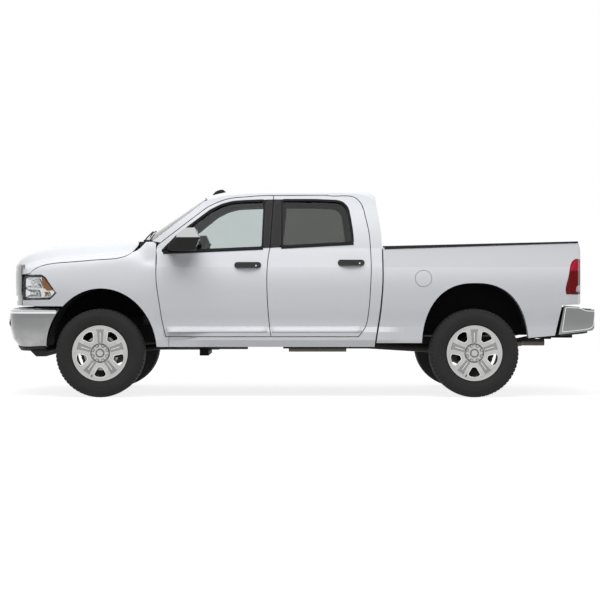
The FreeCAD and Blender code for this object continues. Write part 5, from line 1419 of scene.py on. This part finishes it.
@dataclass
class TailLampDress:
    """The dark edge and the white lens of a tail lamp, and the high brake lamp."""

    frame: dict
    outline: tuple = ((2.712, 1.352), (2.676, 1.322), (2.650, 1.235), (2.630, 1.148), (2.612, 1.036),
                      (2.620, 1.009), (2.768, 1.009), (2.778, 1.180), (2.770, 1.345))
    corner: float = 0.02
    step: float = 0.04
    edge: float = 0.007
    reverse: tuple = ((2.716, 1.030), (2.765, 1.030), (2.768, 1.096), (2.735, 1.094), (2.718, 1.075))
    reverse_corner: float = 0.012
    reverse_step: float = 0.02
    reverse_depth: float = -0.0015
    reverse_thick: float = 0.003
    high_lamp: Pair = (0.300, 0.024)
    high_z: float = 1.955
    high_corner: float = 0.01
    high_reach: float = 0.010
    high_bevel: float = 0.003

    def build(self) -> None:
        """Builds both lamps and the high one."""
        skin = Skin(self.frame, ["tail_lamps"])
        whole = refined(rounded(self.outline, self.corner), self.step)
        lens = refined(rounded(self.reverse, self.reverse_corner), self.reverse_step)
        for side in Side:
            lamp = Draped(lambda x, z, s=side: skin.beside(x, z, s), Vector((0, -side.value, 0)))
            lamp.strip("tail_edge_" + side.word, whole, self.edge, LAMP_DARK)
            lamp.patch("reverse_lens_" + side.word, lens, ROOT, WHITE_LENS, self.reverse_depth,
                       thick=self.reverse_thick)
        cab = Skin(self.frame, ["cab_back", "roof"])
        x = cab.behind(0.0, self.high_z).x
        outline = panel(*self.high_lamp, (0.0, self.high_z), self.high_corner)
        Shape("high_brake_lamp").slab(outline, x - self.high_reach, x + self.high_reach).done(
            ROOT, TAIL_RED, bevel=self.high_bevel)


@dataclass
class BumperDress:
    """Blank plates, fog lamps, step pads, and the rolls, rims, strips and lip of the two bumpers."""

    frame: dict
    plate_size: Pair = (0.305, 0.152)
    plate_places: tuple = ((End.FRONT, 0.690), (End.REAR, 0.720))
    plate_corner: float = 0.02
    plate_sink: float = 0.0015
    plate_rise: float = 0.0010
    plate_bevel: float = 0.0008
    least_x: float = 2.7
    bolt_y: float = 0.089
    bolt: tuple = ((0.0005, 0.0018), (0.006, 0.0018), (0.0075, 0.001), (0.0005, 0.001))
    fog_place: Pair = (0.715, 0.725)
    fog_size: Pair = (0.090, 0.075)
    fog_corner: float = 0.03
    fog_depth: float = -0.0015
    fog_thick: float = 0.003
    fog_lens: tuple = ((0.0005, -0.010), (0.020, -0.008), (0.028, -0.001), (0.030, 0.004), (0.0005, 0.004))
    pad_spans: tuple = ((-0.86, -0.36), (-0.30, 0.30), (0.36, 0.86))
    pad_rows: tuple = (2.800, 2.820, 2.840, 2.860, 2.880)
    pad_steps: int = 13
    pad_rise: float = 0.001
    pad_radius: float = 0.0075
    roll_levels: tuple = ((0.820, 0.0), (0.835, 0.0), (0.850, 0.0), (0.862, 0.0))
    roll_sink: float = 0.0015
    lip_levels: tuple = ((0.502, 0.0), (0.480, 0.012), (0.452, 0.040))
    lip_proud: float = 0.010
    lip_read: float = 0.512
    roll_steps: int = 91
    roll_turn: float = 1.50
    roll_middle: float = -2.300
    roll_thick: float = 0.002
    front_limit: float = -2.9265
    # A black plate of painted shade between the bed and the rear bumper.
    gap_box: tuple = ((2.500, 0.860, 0.620), (2.610, 0.885, 0.880))
    end_outline: tuple = ((2.575, 0.640), (2.760, 0.660), (2.848, 0.672), (2.888, 0.698), (2.908, 0.842),
                          (2.812, 0.846), (2.745, 0.874), (2.610, 0.880))
    end_corner: float = 0.018
    end_step: float = 0.03
    rim_radius: float = 0.0045
    under_line: tuple = ((2.560, 0.618), (2.765, 0.638), (2.848, 0.650), (2.890, 0.676))
    under_step: float = 0.04
    under_points: int = 9
    under_read: float = 0.014
    under_drop: float = 0.004
    under_radius: float = 0.012

    def plate(self, skin: Skin, end: End, z: float) -> None:
        """A blank plate with two bolts."""
        name, way = end.word + "_plate", end.value
        width, height = self.plate_size
        look = skin.ahead if end is End.FRONT else skin.behind
        hits = [look(a * width / 2, z + b * height / 2) for a in (-1, 0, 1) for b in (-1, 0, 1)]
        x = max((hit.x for hit in hits if hit is not None and abs(hit.x) > self.least_x), key=abs)
        outline = panel(width, height, (0.0, z), self.plate_corner)
        Shape(name).slab(outline, x - way * self.plate_sink, x + way * self.plate_rise).done(
            ROOT, PLATE_WHITE, bevel=self.plate_bevel)
        head = [(radius, way * out) for radius, out in self.bolt]
        for index, hand in enumerate((-1, 1)):
            bolt = Shape(f"{name}_bolt_{index}")
            bolt.turned(head, Vector((x, hand * self.bolt_y, z)), Axis.X, 12).done(ROOT, STEEL)

    def fog_lamp(self, skin: Skin, side: Side) -> None:
        """A round-cornered dark pocket with a small lamp in it."""
        draped = Draped(lambda y, z: skin.ahead(side.value * y, z), Vector((1, 0, 0)))
        outline = panel(*self.fog_size, self.fog_place, self.fog_corner)
        draped.patch("fog_pocket_" + side.word, outline, ROOT, LAMP_DARK, self.fog_depth,
                     thick=self.fog_thick)
        spot = draped.look(*self.fog_place)
        Shape("fog_lens_" + side.word).turned(self.fog_lens, spot, Axis.X, 32).done(ROOT, WHITE_LENS)

    def step_pads(self, skin: Skin) -> None:
        """Ribbed black pads on the deck of the rear bumper."""
        for index, (start, end) in enumerate(self.pad_spans):
            shape = Shape(f"step_pad_{index}")
            for x in self.pad_rows:
                shape.rib(skin, [(x, blend(start, end, share)) for share in in_turn(self.pad_steps)],
                          self.pad_rise, self.pad_radius)
            shape.done(ROOT, PLASTIC)

    def front_roll(self, skin: Skin) -> None:
        """The rolled edge along the top of the front bumper, in lighter chrome as a painted highlight, and
        the black lip under it.
        """
        for name, levels, proud, finish in (("bumper_roll", self.roll_levels, -self.roll_sink, CHROME_PAINTED_HIGHLIGHT),
                                            ("bumper_lip", self.lip_levels, self.lip_proud, PLASTIC)):
            rows = []
            for share in in_turn(self.roll_steps):
                angle = blend(-self.roll_turn, self.roll_turn, share)
                way = Vector((math.cos(angle), -math.sin(angle), 0.0))
                row = []
                for z, inset in levels:
                    middle = Vector((self.roll_middle, 0.0, max(z, self.lip_read)))
                    hit = skin.cast(middle - way * skin.reach, way)
                    if hit is not None:
                        spot = hit + way * (proud + inset)
                        row.append(Vector((max(spot.x, self.front_limit), spot.y, z)))
                if len(row) == len(levels):
                    rows.append(row)
            Shape(name).sheet(rows).done(ROOT, finish, thick=self.roll_thick)

    def gap_plate(self, side: Side) -> None:
        """A black plate that closes the view between the bed and the rear bumper: painted shade."""
        low, high = self.gap_box
        near, far = sorted((side.value * low[1], side.value * high[1]))
        shape = Shape("bumper_gap_plate_" + side.word)
        shape.block(Vector((low[0], near, low[2])), Vector((high[0], far, high[2]))).done(ROOT, LINER)

    def rear_rim(self, skin: Skin, side: Side) -> None:
        """The rim of one end of the rear bumper, in lighter chrome as a painted highlight, and the black
        strip under it.
        """
        outline = refined(rounded(self.end_outline, self.end_corner), self.end_step)
        rim = [hit for hit in (skin.beside(spot.x, spot.z, side) for spot in outline) if hit is not None]
        Shape("bumper_rim_" + side.word).tube(rim, self.rim_radius, 8, looped=True).done(ROOT, CHROME_PAINTED_HIGHLIGHT)
        under = []
        for spot in refined(flat(self.under_line), self.under_step)[:self.under_points]:
            hit = skin.beside(spot.x, spot.z + self.under_read, side)
            if hit is not None:
                under.append(Vector((spot.x, hit.y - side.value * self.under_read, spot.z - self.under_drop)))
        Shape("bumper_strip_" + side.word).tube(under, self.under_radius, 8).done(ROOT, PLASTIC)

    def build(self) -> None:
        """Builds the trim of both bumpers."""
        skins = {End.FRONT: Skin(self.frame, ["front_bumper"]), End.REAR: Skin(self.frame, ["rear_bumper"])}
        for end, z in self.plate_places:
            self.plate(skins[end], end, z)
        for side in Side:
            self.fog_lamp(skins[End.FRONT], side)
        self.step_pads(skins[End.REAR])
        self.front_roll(skins[End.FRONT])
        for side in Side:
            self.gap_plate(side)
        for side in Side:
            self.rear_rim(skins[End.REAR], side)


@dataclass
class GrilleDress:
    """The black mesh behind the chrome bars and the chrome bands at their ends."""

    frame: dict
    half_width: float = 0.770
    base: float = 0.915
    top: float = 1.285
    read_drop: float = 0.002
    middle_rise: float = 0.01
    uprights: int = 46
    levels: int = 12
    behind: float = 0.050
    lap: float = 0.004
    wire: float = 0.0035
    cheek_heights: Pair = (0.900, 1.290)
    cheek_levels: int = 27
    cheek_span: Pair = (0.655, 0.848)
    cheek_steps: int = 14
    cheek_reads: tuple = (-0.03, -0.015, 0.0, 0.015, 0.03)
    cheek_proud: float = 0.001
    cheek_thick: float = 0.003

    def mesh(self, skin: Skin) -> None:
        """Crossed wires a little behind the face."""
        shape = Shape("grille_mesh")
        middle = skin.ahead(0.0, self.base + self.middle_rise)
        spots = []
        for share in in_turn(self.uprights):
            y = blend(-self.half_width, self.half_width, share)
            hit = skin.ahead(y, self.base - self.read_drop) or middle
            spots.append(Vector((hit.x + self.behind, y, 0.0)))
        for spot in spots:
            shape.tube([Vector((spot.x, spot.y, z)) for z in (self.base, self.top)], self.wire, 4)
        for share in in_turn(self.levels):
            z = blend(self.base, self.top, share)
            shape.tube([Vector((spot.x + self.lap, spot.y, z)) for spot in spots], self.wire, 4)
        shape.done("hood", GLOSS_BLACK)

    def cheek(self, skin: Skin, side: Side) -> None:
        """The upright chrome band at one end of the grille."""
        rows = []
        for level in in_turn(self.cheek_levels):
            z = blend(*self.cheek_heights, level)
            row = []
            for share in in_turn(self.cheek_steps):
                y = side.value * blend(*self.cheek_span, share)
                hits = [skin.ahead(y, z + rise) for rise in self.cheek_reads]
                spots = [hit.x for hit in hits if hit is not None]
                if spots:
                    row.append(Vector((min(spots) - self.cheek_proud, y, z)))
            if len(row) == self.cheek_steps:
                rows.append(row)
        Shape("grille_cheek_" + side.word).sheet(rows).done("hood", GRILLE_CHROME, thick=self.cheek_thick)

    def build(self) -> None:
        """Builds the mesh and both bands."""
        skin = Skin(self.frame, ["grille"])
        self.mesh(skin)
        for side in Side:
            self.cheek(skin, side)


@dataclass
class CowlDress:
    """Wipers and the slats of the cowl."""

    frame: dict
    blades: tuple = ((-0.66, -0.10), (-0.02, 0.54))
    blade_foot: float = -1.510
    bow: float = 0.09
    blade_lean: float = 0.05
    blade_steps: int = 12
    blade_stand: tuple = (-0.004, 0.0, 0.012)
    blade_radius: float = 0.006
    pivot_z: float = 1.536
    pivot_back: Pair = (0.05, 0.02)
    pivot_ends: Pair = (-0.015, 0.014)
    pivot_radius: float = 0.017
    arm_elbow: tuple = (0.01, 0.03, 0.030)
    arm_stand: float = 0.014
    arm_radius: float = 0.007
    slats: int = 9
    slat_half: float = 0.70
    slat_foot: float = -1.615
    slat_length: float = 0.035
    slat_steps: int = 4
    slat_rise: float = 0.001
    slat_radius: float = 0.006

    def wiper(self, glass: Skin, index: int, start: float, end: float) -> None:
        """A blade on the glass, with its arm and pivot."""
        path = []
        for share in in_turn(self.blade_steps):
            y = blend(start, end, share)
            spot = glass.above(self.blade_foot + self.bow * y * y + self.blade_lean * share, y)
            if spot is not None:
                path.append(spot + Vector(self.blade_stand))
        Shape(f"wiper_blade_{index}").tube(path, self.blade_radius, 6).done(ROOT, SEAL)
        pivot = Vector((path[0].x - self.pivot_back[0], path[0].y - self.pivot_back[1], self.pivot_z))
        arm = [pivot, pivot + Vector(self.arm_elbow), path[len(path) // 2] + Vector((0, 0, self.arm_stand))]
        Shape(f"wiper_arm_{index}").tube(smooth_path(arm), self.arm_radius, 6).done(ROOT, PLASTIC)
        post = [pivot + Vector((0, 0, rise)) for rise in self.pivot_ends]
        Shape(f"wiper_pivot_{index}").tube(post, self.pivot_radius, 12).done(ROOT, PLASTIC)

    def build(self) -> None:
        """Builds the wipers and slats."""
        glass = Skin(self.frame, ["windshield"])
        cowl = Skin(self.frame, ["cowl"])
        for index, (start, end) in enumerate(self.blades):
            self.wiper(glass, index, start, end)
        shape = Shape("cowl_slats")
        for place in in_turn(self.slats):
            y = blend(-self.slat_half, self.slat_half, place)
            foot = self.slat_foot + self.bow * y * y
            shape.rib(cowl, [(foot + self.slat_length * share, y) for share in in_turn(self.slat_steps)],
                      self.slat_rise, self.slat_radius)
        shape.done(ROOT, SEAL)


@dataclass
class RoofLamps:
    """Five small marker lamps over the windshield."""

    frame: dict
    places: tuple = (-0.52, -0.17, 0.0, 0.17, 0.52)
    x: float = -0.800
    size: tuple = (0.064, 0.034, 0.046)
    levels: int = 6
    sides: int = 20
    quarter_share: float = 0.94
    sweep: float = 0.012
    sink: float = 0.008
    lean_reach: float = 0.05

    def build(self) -> None:
        """Builds the lamps, each leaning with the roof under it."""
        roof = Skin(self.frame, ["roof"])
        long, wide, high = self.size
        for index, y in enumerate(self.places):
            seat = roof.above(self.x, y)
            front, back = (roof.above(self.x + hand * self.lean_reach, y) for hand in (-1, 1))
            lean = (back.z - front.z) / (2 * self.lean_reach)
            rows = []
            for level in in_turn(self.levels):
                quarter = level * math.pi / 2
                grow, rise = math.cos(quarter * self.quarter_share), high * math.sin(quarter) - self.sink
                row = []
                for angle in angles(self.sides):
                    ahead = long * grow * math.cos(angle) + self.sweep * level
                    row.append(seat + Vector((ahead, wide * grow * math.sin(angle), rise + lean * ahead)))
                rows.append(row)
            Shape(f"roof_lamp_{index}").loft(rows).done(ROOT, MARKER)


@dataclass
class MirrorDress:
    """The upper and lower glass of the two mirrors."""

    span: Pair = (1.000, 1.180)
    faces: tuple = (("upper", (-1.000, 1.640), (-0.962, 1.556)), ("lower", (-0.960, 1.540), (-0.998, 1.446)))
    stands: Pair = (0.001, 0.003)

    def build(self) -> None:
        """Builds the glass of both mirrors."""
        inner, outer = self.span
        for side in Side:
            for label, top, low in self.faces:
                out = Vector((top[1] - low[1], 0.0, low[0] - top[0])).normalized()
                corners = ((top, inner), (top, outer), (low, outer), (low, inner))
                rows = [[Vector((x, side.value * y, z)) + out * stand for (x, z), y in corners]
                        for stand in self.stands]
                Shape(f"mirror_{label}_{side.word}").loft(rows).done("front_door_" + side.word, MIRROR_GLASS)


@dataclass
class BedDress:
    """Rail edges, floor ribs, tie-downs, and the tailgate's handle and cap."""

    frame: dict
    rail_span: Pair = (0.842, 2.735)
    rail_heights: Pair = (0.028, 0.012)
    rail_y: float = 0.915
    rail_drop: float = 0.004
    rail_proud: float = 0.002
    rail_steps: tuple = (20, 4)
    rail_thick: float = 0.003
    rib_span: Pair = (0.885, 2.675)
    half_width: float = 0.62
    ribs: int = 12
    rib_share: float = 0.28
    rib_section: tuple = ((-1.0, 0.0), (-0.7, 1.0), (0.7, 1.0), (1.0, 0.0))
    floor: float = 0.950
    rib_sink: float = 0.001
    rib_height: float = 0.007
    tie_places: Pair = (0.93, 2.62)
    tie_y: float = 0.846
    tie_z: float = 1.05
    tie_size: Pair = (0.03, 0.028)
    tie_steps: int = 9
    tie_radius: float = 0.005
    gate_face: float = 2.772
    handle_size: Pair = (0.27, 0.070)
    handle_z: float = 1.400
    handle_corner: float = 0.02
    plate_ends: Pair = (-0.03, 0.004)
    plate_bevel: float = 0.002
    grip: tuple = ((-0.38, 0.004, 0.006), (-0.25, 0.016, 0.010), (0.0, 0.019, 0.011), (0.25, 0.016, 0.010),
                   (0.38, 0.004, 0.006))
    grip_radius: float = 0.010
    cap_half: float = 0.785
    cap_section: tuple = ((2.706, 1.503), (2.712, 1.508), (2.764, 1.508), (2.770, 1.503))

    def rail_edge(self, side: Side) -> None:
        """The black outer edge of a bed rail's cap, thinner towards the tail."""
        caps = Skin(self.frame, ["bed_rail_caps"])
        sides = Skin(self.frame, ["bed_sides"])
        steps, levels = self.rail_steps
        rows = []
        for share in in_turn(steps):
            x, height = blend(*self.rail_span, share), blend(*self.rail_heights, share)
            top = caps.above(x, side.value * self.rail_y)
            if top is None:
                continue
            row = []
            for level in in_turn(levels):
                z = top.z - self.rail_drop - level * height
                hits = [skin.beside(x, z, side) for skin in (caps, sides)]
                outs = [abs(hit.y) for hit in hits if hit is not None]
                if outs:
                    row.append(Vector((x, side.value * (max(outs) + self.rail_proud), z)))
            if len(row) == levels:
                rows.append(row)
        Shape("rail_edge_" + side.word).sheet(rows).done(ROOT, PLASTIC, thick=self.rail_thick)

    def floor_ribs(self) -> None:
        """The pressed ribs along the floor."""
        shape = Shape("bed_ribs")
        pitch = 2 * self.half_width / self.ribs
        half = pitch * self.rib_share
        for index in range(self.ribs):
            y = -self.half_width + (index + 0.5) * pitch
            shape.loft([[Vector((x, y + half * a, self.floor + blend(-self.rib_sink, self.rib_height, b)))
                         for a, b in self.rib_section] for x in self.rib_span])
        shape.done(ROOT, BED_COAT)

    def tie_downs(self, side: Side) -> None:
        """The two loops on one wall."""
        long, deep = self.tie_size
        for index, x in enumerate(self.tie_places):
            loop = []
            for share in in_turn(self.tie_steps):
                angle = math.pi * share
                y = side.value * (self.tie_y - deep * math.sin(angle))
                loop.append(Vector((x + long * math.cos(angle), y, self.tie_z)))
            Shape(f"tie_down_{index}_{side.word}").tube(loop, self.tie_radius, 8).done(ROOT, FRAME_PAINT)

    def gate(self) -> None:
        """The tailgate's handle and the cap on its upper edge."""
        outline = panel(*self.handle_size, (0.0, self.handle_z), self.handle_corner)
        back, front = (self.gate_face + out for out in self.plate_ends)
        plate = Shape("gate_handle_plate").slab(outline, back, front)
        plate.done("tailgate", PLASTIC, bevel=self.plate_bevel)
        grip = [Vector((self.gate_face + out, self.handle_size[0] * share, self.handle_z + rise))
                for share, out, rise in self.grip]
        Shape("gate_handle_bar").tube(smooth_path(grip), self.grip_radius, 8).done("tailgate", GLOSS_BLACK)
        cap = [[Vector((x, y, z)) for x, z in self.cap_section] for y in (-self.cap_half, self.cap_half)]
        Shape("gate_cap").loft(cap).done("tailgate", PLASTIC)

    def build(self) -> None:
        """Builds the bed's details."""
        for side in Side:
            self.rail_edge(side)
        self.floor_ribs()
        for side in Side:
            self.tie_downs(side)
        self.gate()


@dataclass
class CabinDress:
    """Padded front seats and rear bench, with their bases and head rests."""

    floor: float = 0.743
    seat_half: float = 0.262
    seat_y: float = 0.424
    front_x: float = -0.640
    rear_x: float = 0.180
    bench_half: float = 0.640
    bench_gap: float = 0.004
    soften: int = 2
    crease: float = 80.0
    pad_ends: tuple = ((0.0, 0.80), (0.04, 0.95), (0.25, 1.0), (0.55, 0.98), (0.85, 0.95), (0.97, 0.88),
                       (1.0, 0.72))
    pad_section: tuple = ((-1.0, 0.10), (-1.0, 0.78), (-0.86, 1.04), (-0.60, 0.92), (0.0, 0.90), (0.60, 0.92),
                          (0.86, 1.04), (1.0, 0.78), (1.0, 0.10), (0.80, 0.0), (-0.80, 0.0))
    cushion_foot: Pair = (-0.265, 0.190)
    cushion_size: Pair = (0.50, 0.180)
    back_foot: Pair = (0.345, 0.230)
    back_size: Pair = (0.740, 0.150)
    back_lean: Pair = (0.225, 0.974)
    rest_foot: float = 0.05
    rest_size: tuple = (0.185, 0.135, 0.100)
    rest_lean: Pair = (0.12, 0.993)
    rest_back: float = 0.455
    rest_heights: Pair = (0.970, 0.960)
    post_y: float = 0.05
    post_ends: tuple = ((0.0, -0.07), (0.008, 0.05))
    post_radius: float = 0.006
    base_reach: float = 0.18
    base_half: float = 0.20
    bench_base_half: float = 0.60
    base_height: float = 0.20
    base_bevel: float = 0.01

    def pad(self, name: str, foot: Vector, along: Vector, sizes: tuple) -> bpy.types.Object:
        """A padded piece with pulled-in ends and a crowned face.

        Args:
            name: The pad's name.
            foot: The middle of its lower end.
            along: The way that it grows, of unit length, in the XZ plane; its face looks to the left of it.
            sizes: Length, half width and thickness.

        Returns:
            The piece.
        """
        length, half, thick = sizes
        up = Vector((-along.z, 0.0, along.x))
        across = along.cross(up)
        rows = [[foot + along * length * share + across * half * a * grow + up * thick * b * grow
                 for a, b in self.pad_section] for share, grow in self.pad_ends]
        piece = Shape(name).loft(rows).done(ROOT, CLOTH, soften=self.soften, smooth=self.crease)
        return piece

    def chair(self, name: str, x: float, y: float, half: float) -> bpy.types.Object:
        """A seat with cushion and back; hands out the cushion.

        Args:
            name: The seat's name.
            x: X of the seat.
            y: Y of its middle.
            half: Half its width.

        Returns:
            The cushion.
        """
        foot = Vector((x + self.cushion_foot[0], y, self.floor + self.cushion_foot[1]))
        length, thick = self.cushion_size
        cushion = self.pad(name + "_cushion", foot, Vector((1, 0, 0)), (length, half, thick))
        foot = Vector((x + self.back_foot[0], y, self.floor + self.back_foot[1]))
        length, thick = self.back_size
        lean = Vector((self.back_lean[0], 0, self.back_lean[1]))
        self.pad(name + "_back", foot, lean, (length, half, thick))
        return cushion

    def head_rest(self, name: str, x: float, y: float, z: float) -> None:
        """A head rest on two posts."""
        lean = Vector((self.rest_lean[0], 0, self.rest_lean[1]))
        self.pad(name, Vector((x + self.rest_foot, y, z)), lean, self.rest_size)
        for side in Side:
            post = [Vector((x + back, y + side.value * self.post_y, z + rise))
                    for back, rise in self.post_ends]
            Shape(f"{name}_post_{side.word}").tube(post, self.post_radius, 8).done(ROOT, STEEL)

    def base(self, name: str, x: float, y: float, half: float) -> None:
        """The plain box under a seat."""
        low = Vector((x - self.base_reach, y - half, self.floor))
        high = Vector((x + self.base_reach, y + half, self.floor + self.base_height))
        Shape(name).block(low, high).done(ROOT, CABIN_PLASTIC, bevel=self.base_bevel)

    def build(self) -> None:
        """Builds the seats."""
        front_rest, rear_rest = (self.floor + height for height in self.rest_heights)
        for side in Side:
            y = side.value * self.seat_y
            self.chair("front_seat_" + side.word, self.front_x, y, self.seat_half)
            self.head_rest("front_head_rest_" + side.word, self.front_x + self.rest_back, y, front_rest)
            self.base("seat_base_" + side.word, self.front_x, y, self.base_half)
        for side in Side:
            half = self.bench_half / 2
            self.chair("rear_bench_" + side.word, self.rear_x, side.value * half, half - self.bench_gap)
            self.head_rest("rear_head_rest_" + side.word, self.rear_x + self.rest_back,
                           side.value * self.seat_y, rear_rest)
        self.base("bench_base", self.rear_x, 0.0, self.bench_base_half)
        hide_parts("seats")


@dataclass
class UnderbodyDress:
    """Front coils, rear dampers and the clamps of the leaf springs."""

    coil_place: Pair = (-1.940, 0.575)
    coil_heights: Pair = (0.492, 0.718)
    coil_radius: float = 0.064
    coil_wire: float = 0.0085
    coil_turns: float = 5.0
    coil_steps: int = 81
    damper_y: float = 0.50
    damper_ends: tuple = ((1.62, 0.47), (1.42, 0.80))
    damper_share: float = 0.55
    damper_radii: Pair = (0.030, 0.018)
    clamp_places: Pair = (1.66, 1.78)
    clamp_loop: tuple = ((0.520, 0.44), (0.520, 0.535), (0.610, 0.535), (0.610, 0.44))
    clamp_radius: float = 0.009

    def coil(self, side: Side) -> None:
        """One front coil."""
        x, y = self.coil_place
        path = []
        for share in in_turn(self.coil_steps):
            angle = 2 * math.pi * self.coil_turns * share
            path.append(Vector((x + self.coil_radius * math.cos(angle),
                                side.value * y + self.coil_radius * math.sin(angle),
                                blend(*self.coil_heights, share))))
        Shape("coil_" + side.word).tube(path, self.coil_wire, 8).done(ROOT, GLOSS_BLACK)

    def damper(self, side: Side) -> None:
        """One rear damper, with its tube and rod."""
        low, high = (Vector((x, side.value * self.damper_y, z)) for x, z in self.damper_ends)
        middle = low.lerp(high, self.damper_share)
        tube, rod = self.damper_radii
        Shape("rear_damper_" + side.word).tube([low, middle], tube, 14).done(ROOT, FRAME_PAINT)
        Shape("rear_damper_rod_" + side.word).tube([middle, high], rod, 12).done(ROOT, STEEL)

    def build(self) -> None:
        """Builds the running gear's details."""
        for side in Side:
            self.coil(side)
            self.damper(side)
            for index, x in enumerate(self.clamp_places):
                clamp = [Vector((x, side.value * y, z)) for y, z in self.clamp_loop]
                shape = Shape(f"spring_clamp_{index}_{side.word}").tube(clamp, self.clamp_radius, 8)
                shape.done(ROOT, FRAME_PAINT)


@dataclass
class Studio:
    """A pale floor, soft light and the camera of the photograph."""

    camera_place: tuple = (-0.110, -15.985, 1.070)
    lens: float = 92.16
    sensor: float = 36.0
    view_end: float = 400.0
    shift: Pair = (0.0213, -0.0200)
    floor_half: float = 90.0
    floor_z: float = -0.001
    floor_colour: Colour = (0.28, 0.28, 0.28)
    floor_tone: float = 0.985
    floor_patches: float = 0.6
    floor_dullness: float = 0.95
    floor_lift: float = 0.84
    sky_top: float = 0.62
    sky_side: float = 0.46
    sky_rise: float = 0.8
    lights: tuple = (("key", (-0.8, -3.9, 8.0), (9.0, 4.5), 460.0),
                     ("back", (0.5, 6.5, 6.0), (7.0, 4.0), 90.0))
    target: tuple = (0.0, 0.0, 1.0)

    def seen(self, mixture: Mixture) -> Signal:
        """1 where the camera, metal or glass looks, 0 where light is gathered."""
        paths = mixture.node("ShaderNodeLightPath", {}, {})
        camera, glossy, clear = (Signal(mixture, paths.outputs[f"Is {kind} Ray"])
                                 for kind in ("Camera", "Glossy", "Transmission"))
        return (camera + glossy + clear).smaller(1.0)

    def link(self, name: str, data: bpy.types.ID, place: tuple = (0, 0, 0)) -> bpy.types.Object:
        """Puts an object in the scene at a place.

        Args:
            name: Its name.
            data: What it shows.
            place: Where it stands.

        Returns:
            The object.
        """
        made = bpy.data.objects.new(name, data)
        made.location = place
        bpy.context.scene.collection.objects.link(made)
        return made

    def floor(self) -> None:
        """The floor, which keeps the shadow."""
        material = bpy.data.materials.new("studio_floor")
        mixture = Mixture(material)
        tone = mixture.mix(mixture.noise(self.floor_patches), opaque(self.floor_colour),
                           opaque(self.floor_colour, self.floor_tone))
        lift = mixture.mix(self.seen(mixture), opaque((0, 0, 0)), opaque((self.floor_lift,) * 3))
        mixture.show(mixture.principled({"Base Color": tone, "Roughness": self.floor_dullness,
                                         "Emission Color": lift, "Emission Strength": 1.0,
                                         "Specular IOR Level": 0.0}))
        mesh = bpy.data.meshes.new("floor")
        corners = [(a * self.floor_half, b * self.floor_half, self.floor_z)
                   for a, b in ((-1, -1), (1, -1), (1, 1), (-1, 1))]
        mesh.from_pydata(corners, [], [(0, 1, 2, 3)])
        mesh.materials.append(material)
        floor = self.link("floor", mesh)

    def sky(self) -> None:
        """White to the camera; to the truck a soft sky, brighter above."""
        world = bpy.data.worlds.new("studio_sky")
        bpy.context.scene.world = world
        mixture = Mixture(world)
        height = mixture.along(Axis.Z, "Generated").rise(0.0, self.sky_rise)
        strength = blend(self.sky_side, self.sky_top, height)
        total = strength + self.seen(mixture) * (1.0 - strength)
        back = mixture.node("ShaderNodeBackground", {}, {"Color": opaque((1, 1, 1)), "Strength": total})
        mixture.show(back.outputs[0], "ShaderNodeOutputWorld")

    def lamp(self, name: str, place: tuple, size: Pair, power: float) -> None:
        """A soft rectangular light that looks at the truck."""
        data = bpy.data.lights.new(name + "_light", "AREA")
        data.shape = "RECTANGLE"
        data.size, data.size_y = size
        data.energy = power
        lamp = self.link(name + "_light", data, place)
        lamp.rotation_euler = (Vector(self.target) - Vector(place)).to_track_quat("-Z", "Y").to_euler()
        lamp.visible_camera = lamp.visible_glossy = False

    def camera(self) -> None:
        """The camera, level and square to the truck's left side."""
        data = bpy.data.cameras.new("camera")
        data.lens = self.lens
        data.sensor_width = self.sensor
        data.shift_x, data.shift_y = self.shift
        data.clip_end = self.view_end
        camera = self.link("camera", data, self.camera_place)
        camera.rotation_euler = (math.pi / 2, 0.0, 0.0)
        bpy.context.scene.camera = camera

    def build(self) -> None:
        """Builds the studio."""
        self.floor()
        self.sky()
        for name, place, size, power in self.lights:
            self.lamp(name, place, size, power)
        self.camera()
        bpy.context.scene.view_settings.view_transform = "Standard"


def dress_nodes(frame: dict) -> None:
    """Gives every CAD node its finish.
    """
    for finish, names in NODE_FINISHES:
        for name in names:
            materials = frame["nodes"][name].data.materials
            materials.clear()
            materials.append(finish.material())
            LOG.info("%s wears %s", name, finish.name)


def main() -> None:
    """Loads the frame, dresses it and builds the studio."""
    logging.basicConfig(level=logging.INFO, format="%(message)s")
    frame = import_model()
    dress_nodes(frame)
    profile = CabProfile(Skin(frame, ["front_door_left", "rear_door_left"]))
    for part in (DoorTrim(profile), WheelDress(), HeadLampDress(frame), TailLampDress(frame),
                 BumperDress(frame), GrilleDress(frame), CowlDress(frame), RoofLamps(frame), MirrorDress(),
                 BedDress(frame), CabinDress(), UnderbodyDress()):
        LOG.info("building %s", type(part).__name__)
        part.build()
    Studio().build()


if __name__ == "__main__":
    main()
